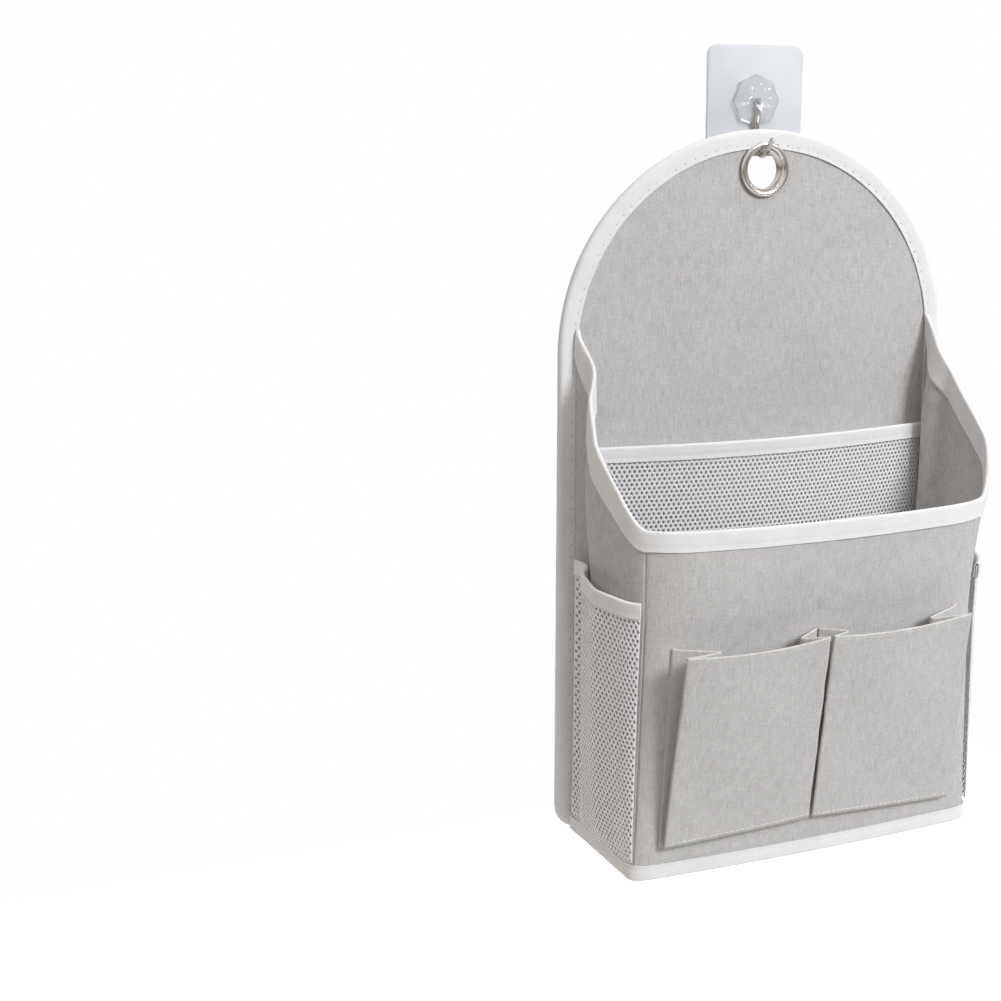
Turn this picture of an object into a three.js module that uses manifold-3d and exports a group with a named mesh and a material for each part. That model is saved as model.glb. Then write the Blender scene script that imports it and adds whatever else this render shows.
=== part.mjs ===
// A fabric caddy that hangs on the wall beside a bed, on a clear stick-on hook.
// Millimetres. The origin is the middle of the hook's glued face, on the wall.
// +X is to the right, +Y goes into the wall and +Z is up.
import * as THREE from 'three';
import { mergeVertices } from 'three/addons/utils/BufferGeometryUtils.js';
import Module from 'manifold-3d';

// Sheet materials, and the clearance between pieces that touch
const clothThickness = 0.8;
const liningThickness = 0.6;
const boardThickness = 1.4;
const tapeThickness = 0.6;
const netThickness = 0.8;
const seamGap = 0.3;

// Back panel, over the outside of its binding
const panelHeight = 404;
const shoulderHeight = 282;
const shoulderWidth = 248;
const footWidth = 256;
const footCornerRadius = 15;
const edgeTapeWidth = 10.5;

// Box: outside of the cloth, at the mouth and at the base. The mouth is pulled to the right, and
// its right corner flares out over the top of the wall.
const mouthWidth = 214;
const mouthShift = 4;
const mouthFlare = 6;
const mouthFlareDepth = 88;
const mouthDepth = 73;
const mouthFrontHeight = 196.6;
const mouthFrontTurn = 22;
const mouthSideTurn = 5;
const baseWidth = 220;
const baseDepth = 71;
const baseFrontTurn = 10;
const baseSideTurn = 4;
const frontBow = 3;
const seamOverTape = 1;
const rimBackHeight = 296.6;
const mouthTapeWidth = 11;
const baseTapeHeight = 9;
const baseTapeUnder = 4;
const bottomBoardInset = 4;

// Each side wall has a fold that stands out near its middle and a crease pressed in beside the
// back seam. Places on a wall are shares of its depth, from the front corner.
const foldOutLeft = 10;
const foldOutRight = 13.9;
const foldStartHeight = 128;
const foldFullHeight = 215;
const foldPeakLeftShare = 0.53;
const foldPeakRightShare = 0.36;
const foldRoundLeftShare = 0.03;
const foldRoundRightShare = 0.07;
const foldTopShare = 0.55;
const creaseLeft = 8.5;
const creaseRight = 10;
const creaseFullHeight = 150;
const creaseStartShare = 0.7;

// How the rim falls from the back to the front corner: over 1 sags, under 1 stands full
const rimFallLeft = 1.35;
const rimFallRight = 1.16;

// The length of rim over which its slope is taken
const rimSlopeSpan = 12;

// Net pocket inside, against the back panel
const innerNetHeight = 233;
const innerNetStart = 3.4;
const innerNetBulge = 14;
const innerNetSideGap = 2.2;
const innerTapeWidth = 9;
const innerNetColumns = 12;
const innerNetRows = 9;

// Net pockets outside, on the two side walls
const sideNetFrontHeight = 157.6;
const sideNetBackHeight = 166.9;
const sideNetFall = 1.5;
const sideNetOutLeft = 9.4;
const sideNetOutRight = 11.5;
const sideNetCrease = 5.4;
const sideNetPeakShare = 0.44;
const sideNetRoundShare = 0.09;
const sideNetFrontMargin = 1;
const sideNetBackMargin = 3;
const sideTapeWidth = 8.5;
const sideNetColumns = 8;
const sideNetRows = 10;
const netBarShare = 0.42;

// Two pleated pockets on the front
const pocketBottom = 19.5;
const pocketLeftTop = 134;
const pocketRightTop = 138;
const pocketSewLeft = 91;
const pocketSewMiddle = 2;
const pocketSewRight = 89;
const pocketSewGap = 1.2;
const pocketStandOff = 16;
const outerPleatDepth = 23;
const centrePleatDepth = 14;
const outerCornerInset = 2;
const centreCornerInset = 0.7;
const pleatTurnRadius = 0.65;

// Eyelet
const eyeletHoleRadius = 10.5;
const eyeletOuterRadius = 15;
const eyeletBarrelWall = 0.5;
const eyeletFrontProud = 1.4;
const eyeletRollProud = 0.8;
const eyeletWasherThickness = 0.6;
const eyeletHeight = 382;

// Stick-on hook
const plateSize = 60;
const plateCornerRadius = 6;
const plateThickness = 1.2;
const padThickness = 0.6;
const bossRadius = 13.6;
const bossLobeHeight = 0.7;
const bossLobes = 8;
const bossDepth = 5.8;
const wireDiameter = 3;
const wireBendRadius = 7.6;
const wireLegLength = 7.2;
const wireLegLean = 38;
const wireTopHeight = 1;
const wireChannelTop = 1;

// Where the caddy hangs: its front face off the wall, and the drop from plate centre to foot
const wallGap = 14;
const hangDrop = 420;

// Worked out from the sizes above
const panelThickness = clothThickness + boardThickness + liningThickness + 2 * seamGap;
const tapeStandOff = seamGap + tapeThickness;
const edgeCrest = panelThickness / 2 + tapeStandOff;
const boxBack = -(tapeStandOff + seamGap);
const baseHeight = tapeStandOff;
const mouthHalf = mouthWidth / 2;
const wallRun = mouthHalf + mouthDepth;
const wireRadius = wireDiameter / 2;

// Materials
const materials = {
  cloth: new THREE.MeshStandardMaterial({ color: 0xb7b3ad, roughness: 0.92, metalness: 0 }),
  lining: new THREE.MeshStandardMaterial({ color: 0xc9c6c1, roughness: 0.9, metalness: 0 }),
  tape: new THREE.MeshStandardMaterial({ color: 0xeeeef0, roughness: 0.85, metalness: 0 }),
  net: new THREE.MeshStandardMaterial({ color: 0xe9e9ec, roughness: 0.7, metalness: 0 }),
  board: new THREE.MeshStandardMaterial({ color: 0xd8d4cc, roughness: 0.6, metalness: 0 }),
  nickel: new THREE.MeshStandardMaterial({ color: 0xd0cbc6, roughness: 0.18, metalness: 1 }),
  steel: new THREE.MeshStandardMaterial({ color: 0xb9b6b0, roughness: 0.25, metalness: 1 }),
  clear: new THREE.MeshStandardMaterial({
    color: 0xdce6ec, roughness: 0.12, metalness: 0, transparent: true, opacity: 0.45,
  }),
  glue: new THREE.MeshStandardMaterial({
    color: 0xe6ecee, roughness: 0.3, metalness: 0, transparent: true, opacity: 0.5,
  }),
};

const { lerp, clamp, smoothstep } = THREE.MathUtils;

// Turns a list of corner points and triangles into a geometry whose faces point out
function solidFrom(points, triangles) {
  const geometry = new THREE.BufferGeometry();
  const corners = points.flatMap((p) => [p.x, p.y, p.z]);
  geometry.setAttribute('position', new THREE.Float32BufferAttribute(corners, 3));
  let volume = 0;
  for (const [a, b, c] of triangles) {
    volume += points[a].dot(new THREE.Vector3().crossVectors(points[b], points[c]));
  }
  const facing = volume > 0 ? triangles : triangles.map(([a, b, c]) => [a, c, b]);
  geometry.setIndex(facing.flat());
  geometry.computeVertexNormals();
  return geometry;
}

// A sheet with two faces and closed edges. face(i, j, side) gives a point: i runs along the
// columns, j along the rows, side is 0 on one face and 1 on the other. A looped sheet joins its
// last column to its first. From the row where a sheet is folded back, its faces are split the
// other way, so that both legs of the fold lie alike on what is between them.
function sheetSolid(columns, rows, face, { looped = false, foldRow = rows } = {}) {
  const count = looped ? columns : columns + 1;
  const points = [];
  for (const side of [0, 1]) {
    for (let i = 0; i < count; i += 1) {
      for (let j = 0; j <= rows; j += 1) points.push(face(i, j, side));
    }
  }
  const at = (i, j, side) => (side * count + (i % count)) * (rows + 1) + j;
  const triangles = [];
  const quad = (a, b, c, d) => triangles.push([a, b, c], [a, c, d]);
  for (let i = 0; i < columns; i += 1) {
    for (let j = 0; j < rows; j += 1) {
      const ring = [[i, j], [i + 1, j], [i + 1, j + 1], [i, j + 1]];
      const [a, b, c, d] = j < foldRow ? ring : [...ring.slice(1), ring[0]];
      quad(at(...a, 0), at(...b, 0), at(...c, 0), at(...d, 0));
      quad(at(...a, 1), at(...d, 1), at(...c, 1), at(...b, 1));
    }
    quad(at(i, 0, 0), at(i, 0, 1), at(i + 1, 0, 1), at(i + 1, 0, 0));
    quad(at(i, rows, 0), at(i + 1, rows, 0), at(i + 1, rows, 1), at(i, rows, 1));
  }
  if (!looped) {
    for (let j = 0; j < rows; j += 1) {
      quad(at(0, j, 0), at(0, j + 1, 0), at(0, j + 1, 1), at(0, j, 1));
      quad(at(columns, j, 0), at(columns, j, 1), at(columns, j + 1, 1), at(columns, j + 1, 0));
    }
  }
  return solidFrom(points, triangles);
}

// A net: a sheet with one square hole in each flat cell. point(s, t, n) gives the place at
// shares s and t of the net, n off its middle surface.
function netSolid(columns, rows, point) {
  const points = [];
  const triangles = [];
  const quad = (a, b, c, d) => triangles.push([a, b, c], [a, c, d]);
  const faces = [netThickness / 2, -netThickness / 2];
  const knots = faces.map((n) => {
    const start = points.length;
    for (let i = 0; i <= columns; i += 1) {
      for (let j = 0; j <= rows; j += 1) points.push(point(i / columns, j / rows, n));
    }
    return (i, j) => start + i * (rows + 1) + j;
  });
  const cornerShares = [[0, 0], [1, 0], [1, 1], [0, 1]];
  for (let i = 0; i < columns; i += 1) {
    for (let j = 0; j < rows; j += 1) {
      const rings = knots.map((knot) => {
        const outer = cornerShares.map(([a, b]) => knot(i + a, j + b));
        const [bottomLeft, bottomRight, topRight, topLeft] = outer.map((k) => points[k]);
        const inner = cornerShares.map(([a, b]) => {
          const s = lerp(netBarShare / 2, 1 - netBarShare / 2, a);
          const t = lerp(netBarShare / 2, 1 - netBarShare / 2, b);
          const low = bottomLeft.clone().lerp(bottomRight, s);
          return points.push(low.lerp(topLeft.clone().lerp(topRight, s), t)) - 1;
        });
        return { outer, inner };
      });
      for (let k = 0; k < cornerShares.length; k += 1) {
        const next = (k + 1) % cornerShares.length;
        const [front, back] = rings;
        quad(front.outer[k], front.outer[next], front.inner[next], front.inner[k]);
        quad(back.outer[next], back.outer[k], back.inner[k], back.inner[next]);
        quad(front.inner[k], front.inner[next], back.inner[next], back.inner[k]);
      }
    }
  }
  for (let i = 0; i < columns; i += 1) {
    quad(knots[0](i + 1, 0), knots[0](i, 0), knots[1](i, 0), knots[1](i + 1, 0));
    quad(knots[0](i, rows), knots[0](i + 1, rows), knots[1](i + 1, rows), knots[1](i, rows));
  }
  for (let j = 0; j < rows; j += 1) {
    quad(knots[0](0, j), knots[0](0, j + 1), knots[1](0, j + 1), knots[1](0, j));
    quad(knots[0](columns, j + 1), knots[0](columns, j), knots[1](columns, j), knots[1](columns, j + 1));
  }
  return solidFrom(points, triangles);
}

// A closed loft through rings of points, with a fan over each end
function loftSolid(rings) {
  const size = rings[0].length;
  const points = rings.flat();
  const triangles = [];
  for (let k = 0; k + 1 < rings.length; k += 1) {
    for (let i = 0; i < size; i += 1) {
      const a = k * size + i;
      const b = k * size + ((i + 1) % size);
      triangles.push([a, b, b + size], [a, b + size, a + size]);
    }
  }
  for (const [ring, flip] of [[0, true], [rings.length - 1, false]]) {
    const middle = new THREE.Vector3();
    rings[ring].forEach((p) => middle.addScaledVector(p, 1 / size));
    const centre = points.push(middle) - 1;
    for (let i = 0; i < size; i += 1) {
      const a = ring * size + i;
      const b = ring * size + ((i + 1) % size);
      triangles.push(flip ? [b, a, centre] : [a, b, centre]);
    }
  }
  return solidFrom(points, triangles);
}

// Faces out whichever way a profile was drawn
function outward(geometry) {
  const bare = geometry.clone();
  bare.deleteAttribute('normal');
  bare.deleteAttribute('uv');
  const merged = mergeVertices(bare);
  const place = merged.getAttribute('position');
  const corner = (_, i) => new THREE.Vector3().fromBufferAttribute(place, i);
  const points = Array.from({ length: place.count }, corner);
  const index = Array.from(merged.getIndex().array);
  const triangles = [];
  for (let i = 0; i < index.length; i += 3) {
    const [a, b, c] = index.slice(i, i + 3);
    if (a !== b && b !== c && c !== a) triangles.push([a, b, c]);
  }
  return solidFrom(points, triangles);
}

const wasm = await Module();
wasm.setup();

// Cuts the second solid out of the first
function cutAway(body, tool) {
  const toManifold = (geometry) => {
    const clean = outward(geometry);
    return new wasm.Manifold(new wasm.Mesh({
      numProp: 3,
      vertProperties: new Float32Array(clean.getAttribute('position').array),
      triVerts: new Uint32Array(clean.getIndex().array),
    }));
  };
  const result = toManifold(body).subtract(toManifold(tool)).getMesh();
  const geometry = new THREE.BufferGeometry();
  geometry.setAttribute('position', new THREE.BufferAttribute(result.vertProperties, 3));
  geometry.setIndex(new THREE.BufferAttribute(result.triVerts, 1));
  return outward(geometry);
}

// The section of a folded tape over an edge of the given thickness, as distances in from the
// edge and offsets off its middle. width is the tape's own, over its fold, and step runs from 0,
// on one leg, to tapeRows, on the other.
const tapeLegRows = 1;
const tapeCrestRows = 4;
const tapeRows = 2 * tapeLegRows + tapeCrestRows;
const tapeLeg = (width, edgeThickness) => width - edgeThickness / 2 - tapeStandOff;
function tapeSection(step, side, width, edgeThickness) {
  const offset = edgeThickness / 2 + seamGap + (side === 0 ? tapeThickness : 0);
  const leg = tapeLeg(width, edgeThickness);
  if (step < tapeLegRows) return { inset: leg * (1 - step / tapeLegRows), off: offset };
  if (step > tapeLegRows + tapeCrestRows) {
    return { inset: leg * ((step - tapeLegRows - tapeCrestRows) / tapeLegRows), off: -offset };
  }
  const angle = Math.PI * ((step - tapeLegRows) / tapeCrestRows);
  return { inset: -offset * Math.sin(angle), off: offset * Math.cos(angle) };
}

// Back panel outline, as points in x and z with the direction that points inwards
const outlineBottomSteps = 6;
const outlineCornerSteps = 5;
const outlineSideSteps = 6;
const outlineArchSteps = 34;
function backOutline(inset) {
  const shoulder = shoulderWidth / 2;
  const foot = footWidth / 2;
  const archHeight = panelHeight - shoulderHeight;
  const r = footCornerRadius;
  const right = [];
  for (let k = 0; k < outlineBottomSteps / 2; k += 1) {
    right.push([((foot - r) * k) / (outlineBottomSteps / 2), 0]);
  }
  for (let k = 0; k < outlineCornerSteps; k += 1) {
    const angle = (Math.PI / 2) * (k / outlineCornerSteps);
    right.push([foot - r + r * Math.sin(angle), r - r * Math.cos(angle)]);
  }
  for (let k = 0; k < outlineSideSteps; k += 1) {
    const share = k / outlineSideSteps;
    right.push([lerp(foot, shoulder, share), lerp(r, shoulderHeight, share)]);
  }
  for (let k = 0; k < outlineArchSteps / 2; k += 1) {
    const angle = (Math.PI / 2) * (k / (outlineArchSteps / 2));
    right.push([shoulder * Math.cos(angle), shoulderHeight + archHeight * Math.sin(angle)]);
  }
  const left = right.slice(1).reverse().map(([x, z]) => [-x, z]);
  const loop = [...right, [0, panelHeight], ...left];
  return loop.map(([x, z], i) => {
    const [x0, z0] = loop[(i + loop.length - 1) % loop.length];
    const [x1, z1] = loop[(i + 1) % loop.length];
    const inward = new THREE.Vector2(-(z1 - z0), x1 - x0).normalize();
    return { x: x + inset * inward.x, z: z + inset * inward.y, inward };
  });
}

// A layer of the back panel, with the hole for the eyelet: front is the y of its front face
function backLayer(front, thickness) {
  const shape = new THREE.Shape(backOutline(edgeCrest).map((p) => new THREE.Vector2(p.x, p.z)));
  const hole = new THREE.Path();
  hole.absarc(0, eyeletHeight, eyeletHoleRadius + eyeletBarrelWall + seamGap, 0, 2 * Math.PI, true);
  shape.holes.push(hole);
  const settings = { depth: thickness, bevelEnabled: false, curveSegments: 10 };
  const geometry = new THREE.ExtrudeGeometry(shape, settings);
  geometry.rotateX(Math.PI / 2);
  geometry.translate(0, front + thickness, 0);
  return outward(geometry);
}

function edgeBinding() {
  const outline = backOutline(edgeCrest);
  return sheetSolid(outline.length, tapeRows, (i, j, side) => {
    const p = outline[i];
    const section = tapeSection(j, side, edgeTapeWidth, panelThickness);
    return new THREE.Vector3(
      p.x + section.inset * p.inward.x,
      panelThickness / 2 - section.off,
      p.z + section.inset * p.inward.y,
    );
  }, { looped: true, foldRow: tapeRows / 2 });
}

// Half the box's width where it meets the back panel, which follows the panel's edge
function backHalf(z) {
  const straight = lerp(footWidth, shoulderWidth, clamp(z / shoulderHeight, 0, 1)) / 2;
  const rise = clamp((z - shoulderHeight) / (panelHeight - shoulderHeight), 0, 1);
  return straight * Math.sqrt(1 - rise ** 2) - edgeTapeWidth + seamOverTape;
}

// A fold's height at share t of the wall: 0 at both ends and about 1 at its rounded peak
function foldAt(t, peak, roundness) {
  const up = Math.exp(-t / peak / roundness);
  const down = Math.exp(-(1 - t) / (1 - peak) / roundness);
  return Math.max(0, -roundness * Math.log(up + down));
}
function creaseAt(t) {
  return Math.sin(Math.PI * clamp((t - creaseStartShare) / (1 - creaseStartShare), 0, 1)) ** 2;
}

// How the cloth of a side wall stands off its flat, at share t of its depth
function clothFolds(side, z, t) {
  const full = smoothstep(z, foldStartHeight, foldFullHeight);
  const left = lerp(1, foldTopShare, smoothstep(z, foldFullHeight, rimBackHeight));
  const pressed = Math.sin((Math.PI / 2) * clamp(z / creaseFullHeight, 0, 1));
  const out = side < 0
    ? foldOutLeft * foldAt(t, foldPeakLeftShare, foldRoundLeftShare)
    : foldOutRight * foldAt(t, foldPeakRightShare, foldRoundRightShare);
  const crease = (side < 0 ? creaseLeft : creaseRight) * creaseAt(t);
  return left * (full * out - pressed * crease);
}

// The box's walls. u runs along them in plan: 0 at the middle of the front, mouthHalf at a front
// corner and wallRun at the back panel, negative on the left.
function wallPlan(u, z, folds) {
  const side = u < 0 ? -1 : 1;
  const across = Math.abs(u);
  const share = z / mouthFrontHeight;
  const turn = clamp(share, 0, 1);
  const flare = mouthFlare * clamp(1 + (z - mouthFrontHeight) / mouthFlareDepth, 0, 1) ** 2;
  const left = lerp(baseWidth / 2, mouthHalf - mouthShift, share);
  const right = lerp(baseWidth / 2, mouthHalf + mouthShift - mouthFlare, share) + flare;
  const half = side < 0 ? left : right;
  const depth = lerp(baseDepth, mouthDepth, share);
  const frontTurn = lerp(baseFrontTurn, mouthFrontTurn, turn);
  const sideTurn = lerp(baseSideTurn, mouthSideTurn, turn);
  const frontAt = (a) => new THREE.Vector2(
    (side * (right - left) + (right + left) * (a / mouthHalf)) / 2,
    -depth - frontBow * (1 - (a / mouthHalf) ** 2),
  );
  const sideAt = (a) => {
    const t = (a - mouthHalf) / mouthDepth;
    return new THREE.Vector2(lerp(half, backHalf(z), t) + folds(side, z, t), lerp(-depth, boxBack, t));
  };
  const plan = new THREE.Vector2();
  if (across <= mouthHalf - frontTurn) plan.copy(frontAt(across));
  else if (across >= mouthHalf + sideTurn) plan.copy(sideAt(across));
  else {
    const bend = new THREE.QuadraticBezierCurve(
      frontAt(mouthHalf - frontTurn), new THREE.Vector2(half, -depth), sideAt(mouthHalf + sideTurn),
    );
    plan.copy(bend.getPoint((across - mouthHalf + frontTurn) / (frontTurn + sideTurn)));
  }
  plan.x *= side;
  return plan;
}
const planStep = 0.05;
function wallPoint(u, z, off, folds = clothFolds) {
  const ahead = wallPlan(Math.min(u + planStep, wallRun), z, folds);
  const behind = wallPlan(Math.max(u - planStep, -wallRun), z, folds);
  const along = ahead.sub(behind).normalize();
  const plan = wallPlan(u, z, folds);
  return new THREE.Vector3(plan.x + off * along.y, plan.y - off * along.x, z);
}
function rimHeight(u) {
  const share = clamp((Math.abs(u) - mouthHalf) / mouthDepth, 0, 1);
  return lerp(mouthFrontHeight, rimBackHeight, share ** (u < 0 ? rimFallLeft : rimFallRight));
}

// Stations along the walls, close together round the front corners
const sideTurnSteps = 2;
const frontTurnSteps = 6;
const foldSteps = 8;
const creaseSteps = 8;
const frontSteps = 6;
const spread = (from, to, steps) => Array.from({ length: steps }, (_, k) => lerp(from, to, k / steps));
const creaseStart = mouthHalf + creaseStartShare * mouthDepth;
const rightStations = [
  ...spread(mouthHalf, mouthHalf + mouthSideTurn, sideTurnSteps),
  ...spread(mouthHalf + mouthSideTurn, creaseStart, foldSteps),
  ...spread(creaseStart, wallRun, creaseSteps), wallRun,
];
const frontStations = [
  ...spread(-mouthHalf, mouthFrontTurn - mouthHalf, frontTurnSteps),
  ...spread(mouthFrontTurn - mouthHalf, mouthHalf - mouthFrontTurn, frontSteps),
  ...spread(mouthHalf - mouthFrontTurn, mouthHalf, frontTurnSteps), mouthHalf,
];
const leftStations = rightStations.map((u) => -u).reverse();
const rimStations = [...leftStations, ...frontStations.slice(1, -1), ...rightStations];

// Tape folded over the rim: its legs run straight down the cloth, longer where the rim is steep,
// so that the tape is as wide square to the rim all the way
function rimStretch(u) {
  const rise = rimHeight(u + rimSlopeSpan / 2) - rimHeight(u - rimSlopeSpan / 2);
  return Math.hypot(rise, rimSlopeSpan) / rimSlopeSpan;
}
function mouthBinding() {
  return sheetSolid(rimStations.length - 1, tapeRows, (i, j, side) => {
    const u = rimStations[i];
    const section = tapeSection(j, side, mouthTapeWidth, clothThickness);
    const z = rimHeight(u) - section.inset * rimStretch(u);
    return wallPoint(u, z, section.off - clothThickness / 2);
  }, { foldRow: tapeRows / 2 });
}

// A wall's cloth: even rows up to the foot of the rim's tape, and one row under the tape
const wallRows = 6;
function wallPanel(stations, seamStart, seamEnd) {
  const ends = stations.slice();
  ends[0] += seamStart;
  ends[ends.length - 1] -= seamEnd;
  return sheetSolid(ends.length - 1, wallRows + 1, (i, j, side) => {
    const rim = rimHeight(ends[i]);
    const tapeFoot = rim - tapeLeg(mouthTapeWidth, clothThickness) * rimStretch(ends[i]);
    const z = j > wallRows ? rim : lerp(baseHeight, tapeFoot, j / wallRows);
    return wallPoint(ends[i], z, -side * clothThickness);
  });
}

// Tape round the base: up the walls outside, round the bottom edge by a chamfer of this share of
// the tape, and a little way in underneath
const baseTurnShare = 0.3;
const baseTapeTop = baseHeight + baseTapeHeight - tapeStandOff;
const baseTapeSteps = [
  (side) => ({ off: seamGap + tapeThickness * (1 - side), z: baseTapeTop }),
  (side) => ({ off: seamGap + tapeThickness * (1 - side), z: tapeThickness }),
  (side) => ({
    off: seamGap + tapeThickness * (1 - side - baseTurnShare),
    z: tapeThickness * lerp(baseTurnShare, 1, side),
  }),
  (side) => ({ off: 0, z: tapeThickness * side }),
  (side) => ({ off: -baseTapeUnder, z: tapeThickness * side }),
];
function bottomBinding() {
  const rows = baseTapeSteps.length - 1;
  return sheetSolid(rimStations.length - 1, rows, (i, j, side) => {
    const { off, z } = baseTapeSteps[j](side);
    return wallPoint(rimStations[i], z, off);
  });
}

// A flat plate inside the walls: their outline at that height, drawn in to leave room all round
function basePlate(inset, bottom, thickness) {
  const plan = rimStations.map((u) => wallPlan(u, bottom, clothFolds));
  const corners = [-mouthHalf, mouthHalf].map((u) => wallPlan(u, bottom, clothFolds));
  const half = Math.min(...corners.map((p) => Math.abs(p.x)));
  const depth = Math.min(...corners.map((p) => boxBack - p.y));
  const points = plan.map((p) => new THREE.Vector2(
    p.x * (1 - inset / half), boxBack + (p.y - boxBack) * (1 - inset / depth),
  ));
  const settings = { depth: thickness, bevelEnabled: false };
  const geometry = new THREE.ExtrudeGeometry(new THREE.Shape(points), settings);
  geometry.translate(0, 0, bottom);
  return outward(geometry);
}

// Net pocket on the back panel: s across, drop down from its top edge, n off its middle
const innerNetStandOff = tapeStandOff + seamGap + netThickness / 2;
function innerNetPoint(s, drop, n) {
  const z = innerNetHeight - drop;
  const half = backHalf(z) - clothThickness - innerNetSideGap;
  const rise = clamp(z / innerNetHeight, 0, 1);
  const swell = innerNetBulge * Math.sin(Math.PI * s) * Math.sin((Math.PI / 2) * Math.sqrt(rise));
  return new THREE.Vector3(lerp(-half, half, s), boxBack - innerNetStandOff - swell - n, z);
}

// Net pocket on a side wall: s from the back seam to the front corner. Its top edge falls towards
// the front, and it keeps its own fold and crease outside the wall's.
const sideNetStandOff = tapeStandOff + seamGap + netThickness / 2;
const sideNetBottom = baseHeight + baseTapeHeight;
function sideNetTop(s) {
  return lerp(sideNetFrontHeight, sideNetBackHeight, (1 - s) ** sideNetFall);
}
function netFolds(side, z, t) {
  const rise = clamp((z - sideNetBottom) / (sideNetFrontHeight - sideNetBottom), 0, 1);
  const out = (side < 0 ? sideNetOutLeft : sideNetOutRight) * foldAt(t, sideNetPeakShare, sideNetRoundShare);
  return Math.sin((Math.PI / 2) * Math.sqrt(rise)) * (out - sideNetCrease * creaseAt(t));
}
function sideNetPoint(side, s, z, n) {
  const u = side * lerp(wallRun - sideNetBackMargin, mouthHalf + sideNetFrontMargin, s);
  return wallPoint(u, z, sideNetStandOff + n, netFolds);
}

// Tape over a net's top edge, with a station at each knot
function netTape(columns, width, point) {
  return sheetSolid(columns, tapeRows, (i, j, side) => {
    const section = tapeSection(j, side, width, netThickness);
    return point(i / columns, section.inset, section.off);
  }, { foldRow: tapeRows / 2 });
}

// Offsets an open line of points in a plane, mitred at its bends up to a limit
const mitreLimit = 2;
function offsetLine(line, distance) {
  const legs = line.slice(1).map((p, i) => p.clone().sub(line[i]).normalize());
  return line.map((p, i) => {
    const arrive = legs[Math.max(i - 1, 0)];
    const leave = legs[Math.min(i, legs.length - 1)];
    const mitre = arrive.clone().add(leave).normalize();
    const stretch = distance * Math.min(1 / mitre.dot(leave), mitreLimit);
    return new THREE.Vector2(p.x - stretch * mitre.y, p.y + stretch * mitre.x);
  });
}

// A front pocket: cloth sewn down at both sides, with a pleat folded in under each front edge.
// In plan the cloth runs out from the sew line to the inner fold, back to the front edge, across
// the front, and the same again on the other side.
const pocketRows = 6;
const pocketFrontShares = [0.2, 0.4, 0.6, 0.8];
function pleatedPocket(left, right) {
  const layer = seamGap + clothThickness / 2;
  const turn = pleatTurnRadius;
  const planLine = (share) => {
    const front = lerp(layer + 4 * turn, pocketStandOff, share);
    const fold = lerp(layer + turn, pocketStandOff / 2, share);
    const pleat = ({ sewn, depth, inset }, way) => {
      const inner = sewn + way * depth;
      const corner = sewn + way * (inset + turn);
      return [
        [sewn, layer], [inner, fold - turn], [inner + way * turn, fold], [inner, fold + turn],
        [corner, front - 2 * turn], [corner - way * turn, front - turn], [corner, front],
      ];
    };
    const start = pleat(left, 1);
    const end = pleat(right, -1).reverse();
    const across = pocketFrontShares.map((along) => [lerp(start.at(-1)[0], end[0][0], along), front]);
    return [...start, ...across, ...end].map(([u, off]) => new THREE.Vector2(u, off));
  };
  const faces = Array.from({ length: pocketRows + 1 }, (_, j) => {
    const line = planLine(j / pocketRows);
    return [offsetLine(line, clothThickness / 2), offsetLine(line, -clothThickness / 2)];
  });
  return sheetSolid(faces[0][0].length - 1, pocketRows, (i, j, side) => {
    const p = faces[j][side][i];
    const along = (p.x + pocketSewLeft) / (pocketSewLeft + pocketSewRight);
    const top = lerp(pocketLeftTop, pocketRightTop, along);
    return wallPoint(p.x, lerp(pocketBottom, top, j / pocketRows), p.y);
  });
}

// Eyelet: a barrel through the panel, with a rounded flange in front and a rolled edge behind.
// The profile is radius and depth, and its bore narrows smoothly to the middle of the barrel.
const eyeletFront = -(tapeStandOff + seamGap);
const washerFront = panelThickness + tapeStandOff + seamGap;
const rollFront = washerFront + eyeletWasherThickness + seamGap;
const ringFront = eyeletFront - eyeletFrontProud;
const ringBack = rollFront + eyeletRollProud;
const eyeletSegments = 36;
const ringArcSteps = 4;
function ringProfile() {
  const barrel = eyeletHoleRadius + eyeletBarrelWall;
  const crest = (eyeletHoleRadius + 2 * eyeletOuterRadius) / 3;
  const roll = (2 * eyeletHoleRadius + eyeletOuterRadius) / 3;
  const waist = (ringFront + ringBack) / 2;
  const profile = [[barrel, rollFront], [barrel, eyeletFront], [eyeletOuterRadius, eyeletFront]];
  for (let k = 1; k <= ringArcSteps; k += 1) {
    const angle = (Math.PI / 2) * (k / ringArcSteps);
    const radius = lerp(crest, eyeletOuterRadius, Math.cos(angle));
    profile.push([radius, lerp(eyeletFront, ringFront, Math.sin(angle))]);
  }
  for (let k = 1; k <= ringArcSteps; k += 1) {
    const angle = (Math.PI / 2) * (k / ringArcSteps);
    const radius = lerp(crest, eyeletHoleRadius, Math.sin(angle));
    profile.push([radius, lerp(waist, ringFront, Math.cos(angle))]);
  }
  for (let k = 1; k <= ringArcSteps; k += 1) {
    const angle = (Math.PI / 2) * (k / ringArcSteps);
    const radius = lerp(roll, eyeletHoleRadius, Math.cos(angle));
    profile.push([radius, lerp(waist, ringBack, Math.sin(angle))]);
  }
  const rollEdge = 2 * roll - barrel;
  profile.push([rollEdge, (rollFront + ringBack) / 2], [rollEdge, rollFront], [barrel, rollFront]);
  return profile.map(([radius, depth]) => new THREE.Vector2(radius, depth));
}
function eyeletRing() {
  return outward(new THREE.LatheGeometry(ringProfile(), eyeletSegments));
}
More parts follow.
